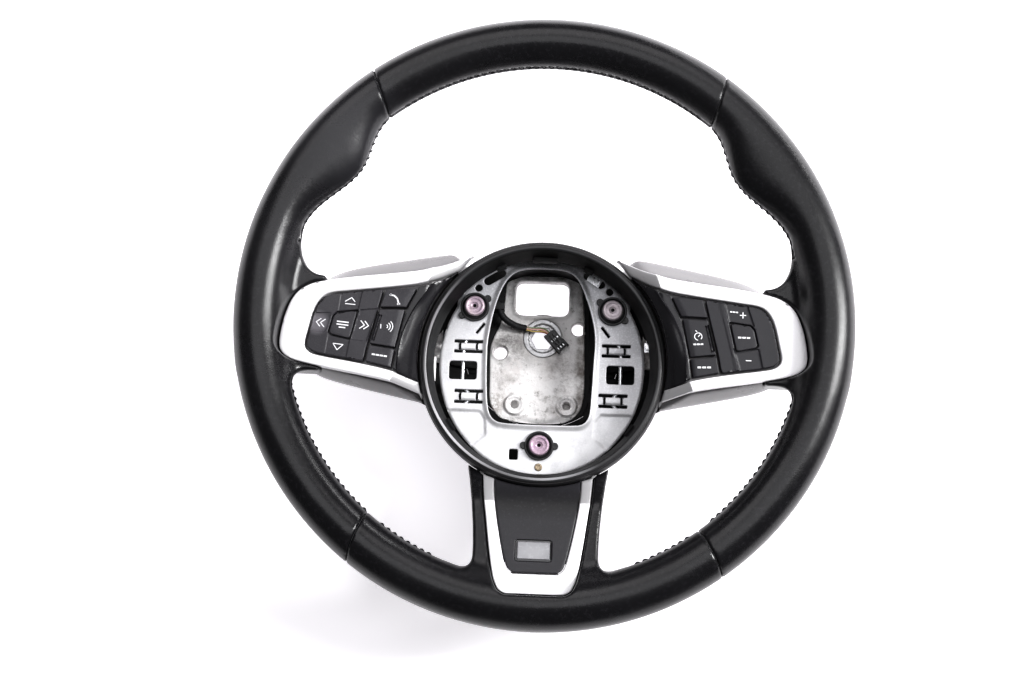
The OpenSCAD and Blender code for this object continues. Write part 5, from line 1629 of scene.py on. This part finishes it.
def cover_sdf(p):
    x, y, z = np.abs(p[:, 0]), p[:, 1], p[:, 2]
    q = np.stack([x, y, z], 1)
    r1 = np.hypot(x, y + 8)
    r2 = np.hypot(x, y - BAY_Y)
    t = np.clip((z - 15) / 29, 0, 1)
    bowl = (np.hypot(x, y + 8 - t * (BAY_Y + 8) * 1.0) - (53 + 20.4 * t)) * 0.8
    bowl = smax(bowl, 14.3 - z, 3.0)
    bowl = smax(bowl, z - 67.4, 0.6)
    side = hull_sdf(q, SIDE_H)
    low = hull_sdf(q, LOW_H)
    f = smin(smin(bowl, side, 5.0), low, 5.0)
    cut = smax(-bowl_in(x, y, z), f, 0.5)
    # under the faces of the spokes
    top = z - (np.where(x > 40, side_top(x, y, 2.0), 200) - 5.6)
    f = smax(cut, top * 0.8, 0.8)
    low_top = z - (bottom_top(x, y, 2.0) - 5.6)
    f = np.where(y < -60, smax(f, np.where(x < 45, low_top, -9) * 0.9, 0.8), f)
    ring = np.maximum(r2 - 74.4, 67.2 - z)
    f = np.where((r2 < 76) & (z > 66), np.maximum(f, -np.maximum(r2 - 75.6, 66.9 - z)), f)
    leg = np.maximum(sdpoly(x, y, LEG_POLY) - 0.3, (bottom_top(x, y, 2.0) - 15.2) - z)
    f = np.where(y < -84, np.maximum(f, -leg), f)
    return f


def bowl_in(x, y, z):
    t = np.clip((z - 15) / 29, 0, 1)
    b = (np.hypot(x, y + 8 - t * (BAY_Y + 8)) - (50.2 + 20.4 * t)) * 0.8
    return np.maximum(b, 16.6 - z)


def cover_open(p):
    f = cover_sdf(p)
    x, y, z = np.abs(p[:, 0]), p[:, 1], p[:, 2]
    f = np.maximum(f, -np.maximum(sdpoly(p[:, 0], y, FLOOR_OUT) - 3.0, z - 17.2))
    arm = np.maximum(np.maximum(box2(x, y, 20, 100, -24.5, 20.5, 0.5), z - 66), 9 - z)
    arm = np.maximum(arm, (x - 40) * -1)
    arm_z = np.interp(x, [26, 40, 72, 84, 126, 150], [7.5, 8.1, 35.5, 57.5, 59.5, 70])
    arm = np.maximum(arm, np.maximum(arm_z - z, z - arm_z - 9))
    f = np.maximum(f, -arm)
    ay = -y
    low_z = np.interp(ay, [44, 52, 102, 112, 142, 160], [7.5, 7.5, 40.5, 56.5, 67.5, 77.5])
    arm2 = np.maximum(np.maximum(x - 14.3, 44 - ay), np.maximum(low_z - z, z - low_z - 9))
    return np.maximum(f, -arm2)


v, q = surface_nets(cover_open, (-157, -150, 12), (157, 53, 88), 2.0, it=3)
lo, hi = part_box("back_cover")
v = np.clip(v, A(lo) / MM - 0.5, A(hi) / MM + 0.5)
mid = v[q].mean(1)
# faces inside the bowl take the near-black bay: painted shade
inner = (np.hypot(mid[:, 0], mid[:, 1] - BAY_Y) < 75.0) & (mid[:, 2] > 15.1) & (bowl_in(np.abs(mid[:, 0]), mid[:, 1], mid[:, 2]) < 1.2)


def painted_shade_lining():
    """Thin near-black shell just inside the bowl's wall, and its flat bottom round the casting: painted shade."""
    rows = []
    for z, w in [(z, 0.15) for z in (15.2, 20, 26, 32, 38, 44, 52, 60, 66.8)] + [(66.8, 1.5), (52, 1.5), (44, 1.5), (32, 1.5), (20, 1.2), (15.2, 0.5)]:
        t = min(max((z - 15) / 29, 0), 1)
        rows.append(np.column_stack([circle_pts((0, -8 + t * (BAY_Y + 8)), 50.2 + 20.4 * t + w, 120), np.full(120, float(z))]))
    n, m = 120, len(rows)
    fc = [(k * n + a, ((k + 1) % m) * n + a, ((k + 1) % m) * n + (a + 1) % n, k * n + (a + 1) % n) for k in range(m) for a in range(n)]
    edge = np.array([[0, -8.0]]) + (FLOOR_OUT - [0, -8.0]) * 1.0
    flat_ = slab(circle_pts((0, -8), 50.4, 120), [inset(ccw(edge), 0.1)], flat(15.2), 0.35, r=0.1, grid=6, step=1.5, nb=1)
    return join([(np.concatenate(rows), fc), flat_])


lv, lf = painted_shade_lining()
n_cover = len(q)
v, q = join([(v, q), (lv, lf)])
link("cover", v, q, "wheel", None, ["back_cover"], sharp=50, mats=[M["cover"], M["bay"]],
     face_mat=np.concatenate([inner.astype(int), np.ones(len(q) - n_cover, int)]))

# ------------------------------------------------------------------ small bits
v, f = bevel_box((-70.0, -36.5, 61.5), (-65.2, -21.5, 61.95), 0.15)
lab = link("label", v, f, "wheel", M["label"], ["blank_label"])
nub = join([bevel_box((62.9, -14.6, 61.1), (68.2, -8.6, 62.4), 0.3), bevel_box((63.6, -13.2, 62.2), (66.4, -9.6, 63.9), 0.5),
            bevel_box((64.0, -8.2, 61.2), (68.0, -5.2, 62.2), 0.3), bevel_box((66.8, -12.6, 62.2), (68.0, -10.6, 64.2), 0.3)])
link("clip", nub[0], nub[1], "wheel", M["wire"], ["ground_clip"])

# ------------------------------------------------------------------ floor and light
bpy.ops.mesh.primitive_plane_add(size=8, location=(0, 0, 0))
floor = bpy.context.object
floor.name = "floor"
fm = bpy.data.materials.new("floor")
fm.use_nodes = True
fb = fm.node_tree.nodes["Principled BSDF"]
fb.inputs["Base Color"].default_value = (0.93, 0.92, 0.93, 1)
fb.inputs["Roughness"].default_value = 0.7
fb.inputs["Specular IOR Level"].default_value = 0.2
# the floor glows, more towards the back (+y): painted light that lifts the shadows and brightens reflections
fb.inputs["Emission Color"].default_value = (0.98, 0.96, 1.0, 1)
ft = fm.node_tree
fx = ft.nodes.new("ShaderNodeSeparateXYZ")
ft.links.new(ft.nodes.new("ShaderNodeTexCoord").outputs["Object"], fx.inputs[0])
fr = ft.nodes.new("ShaderNodeMapRange")
for k, q in (("From Min", -0.16), ("From Max", 0.4), ("To Min", 0.45), ("To Max", 1.9)):
    fr.inputs[k].default_value = q
ft.links.new(fx.outputs[1], fr.inputs["Value"])
ft.links.new(fr.outputs["Result"], fb.inputs["Emission Strength"])
floor.data.materials.append(fm)


def lamp(name, loc, target, size, power, color=(1, 1, 1)):
    d = bpy.data.lights.new(name, "AREA")
    d.shape = "RECTANGLE"
    d.size, d.size_y = size
    d.energy = power
    d.color = color
    o = bpy.data.objects.new(name, d)
    o.location = loc
    o.rotation_euler = (Vector(target) - Vector(loc)).to_track_quat("-Z", "Y").to_euler()
    bpy.context.scene.collection.objects.link(o)


lamp("key", (-0.15, 0.95, 1.15), (0, 0, 0.05), (1.6, 0.8), 10, (1.0, 0.98, 0.99))
lamp("strip", (1.08, 0.16, 0.99), (0, 0, 0.09), (0.2, 0.8), 30)
lamp("edge", (0.95, 1.15, 0.24), (0.1, 0.1, 0.09), (0.9, 0.12), 5)
lamp("over", (0.05, 0.16, 1.75), (0.02, 0, 0), (1.8, 0.9), 11.5, (0.98, 0.98, 1.0))
world = bpy.context.scene.world or bpy.data.worlds.new("world")
bpy.context.scene.world = world
world.use_nodes = True
bg = world.node_tree.nodes.get("Background") or world.node_tree.nodes.new("ShaderNodeBackground")
bg.inputs["Color"].default_value = (0.96, 0.95, 0.97, 1)
bg.inputs["Strength"].default_value = 0.14
bpy.context.scene.view_settings.view_transform = "Standard"
bpy.context.scene.view_settings.gamma = 0.84
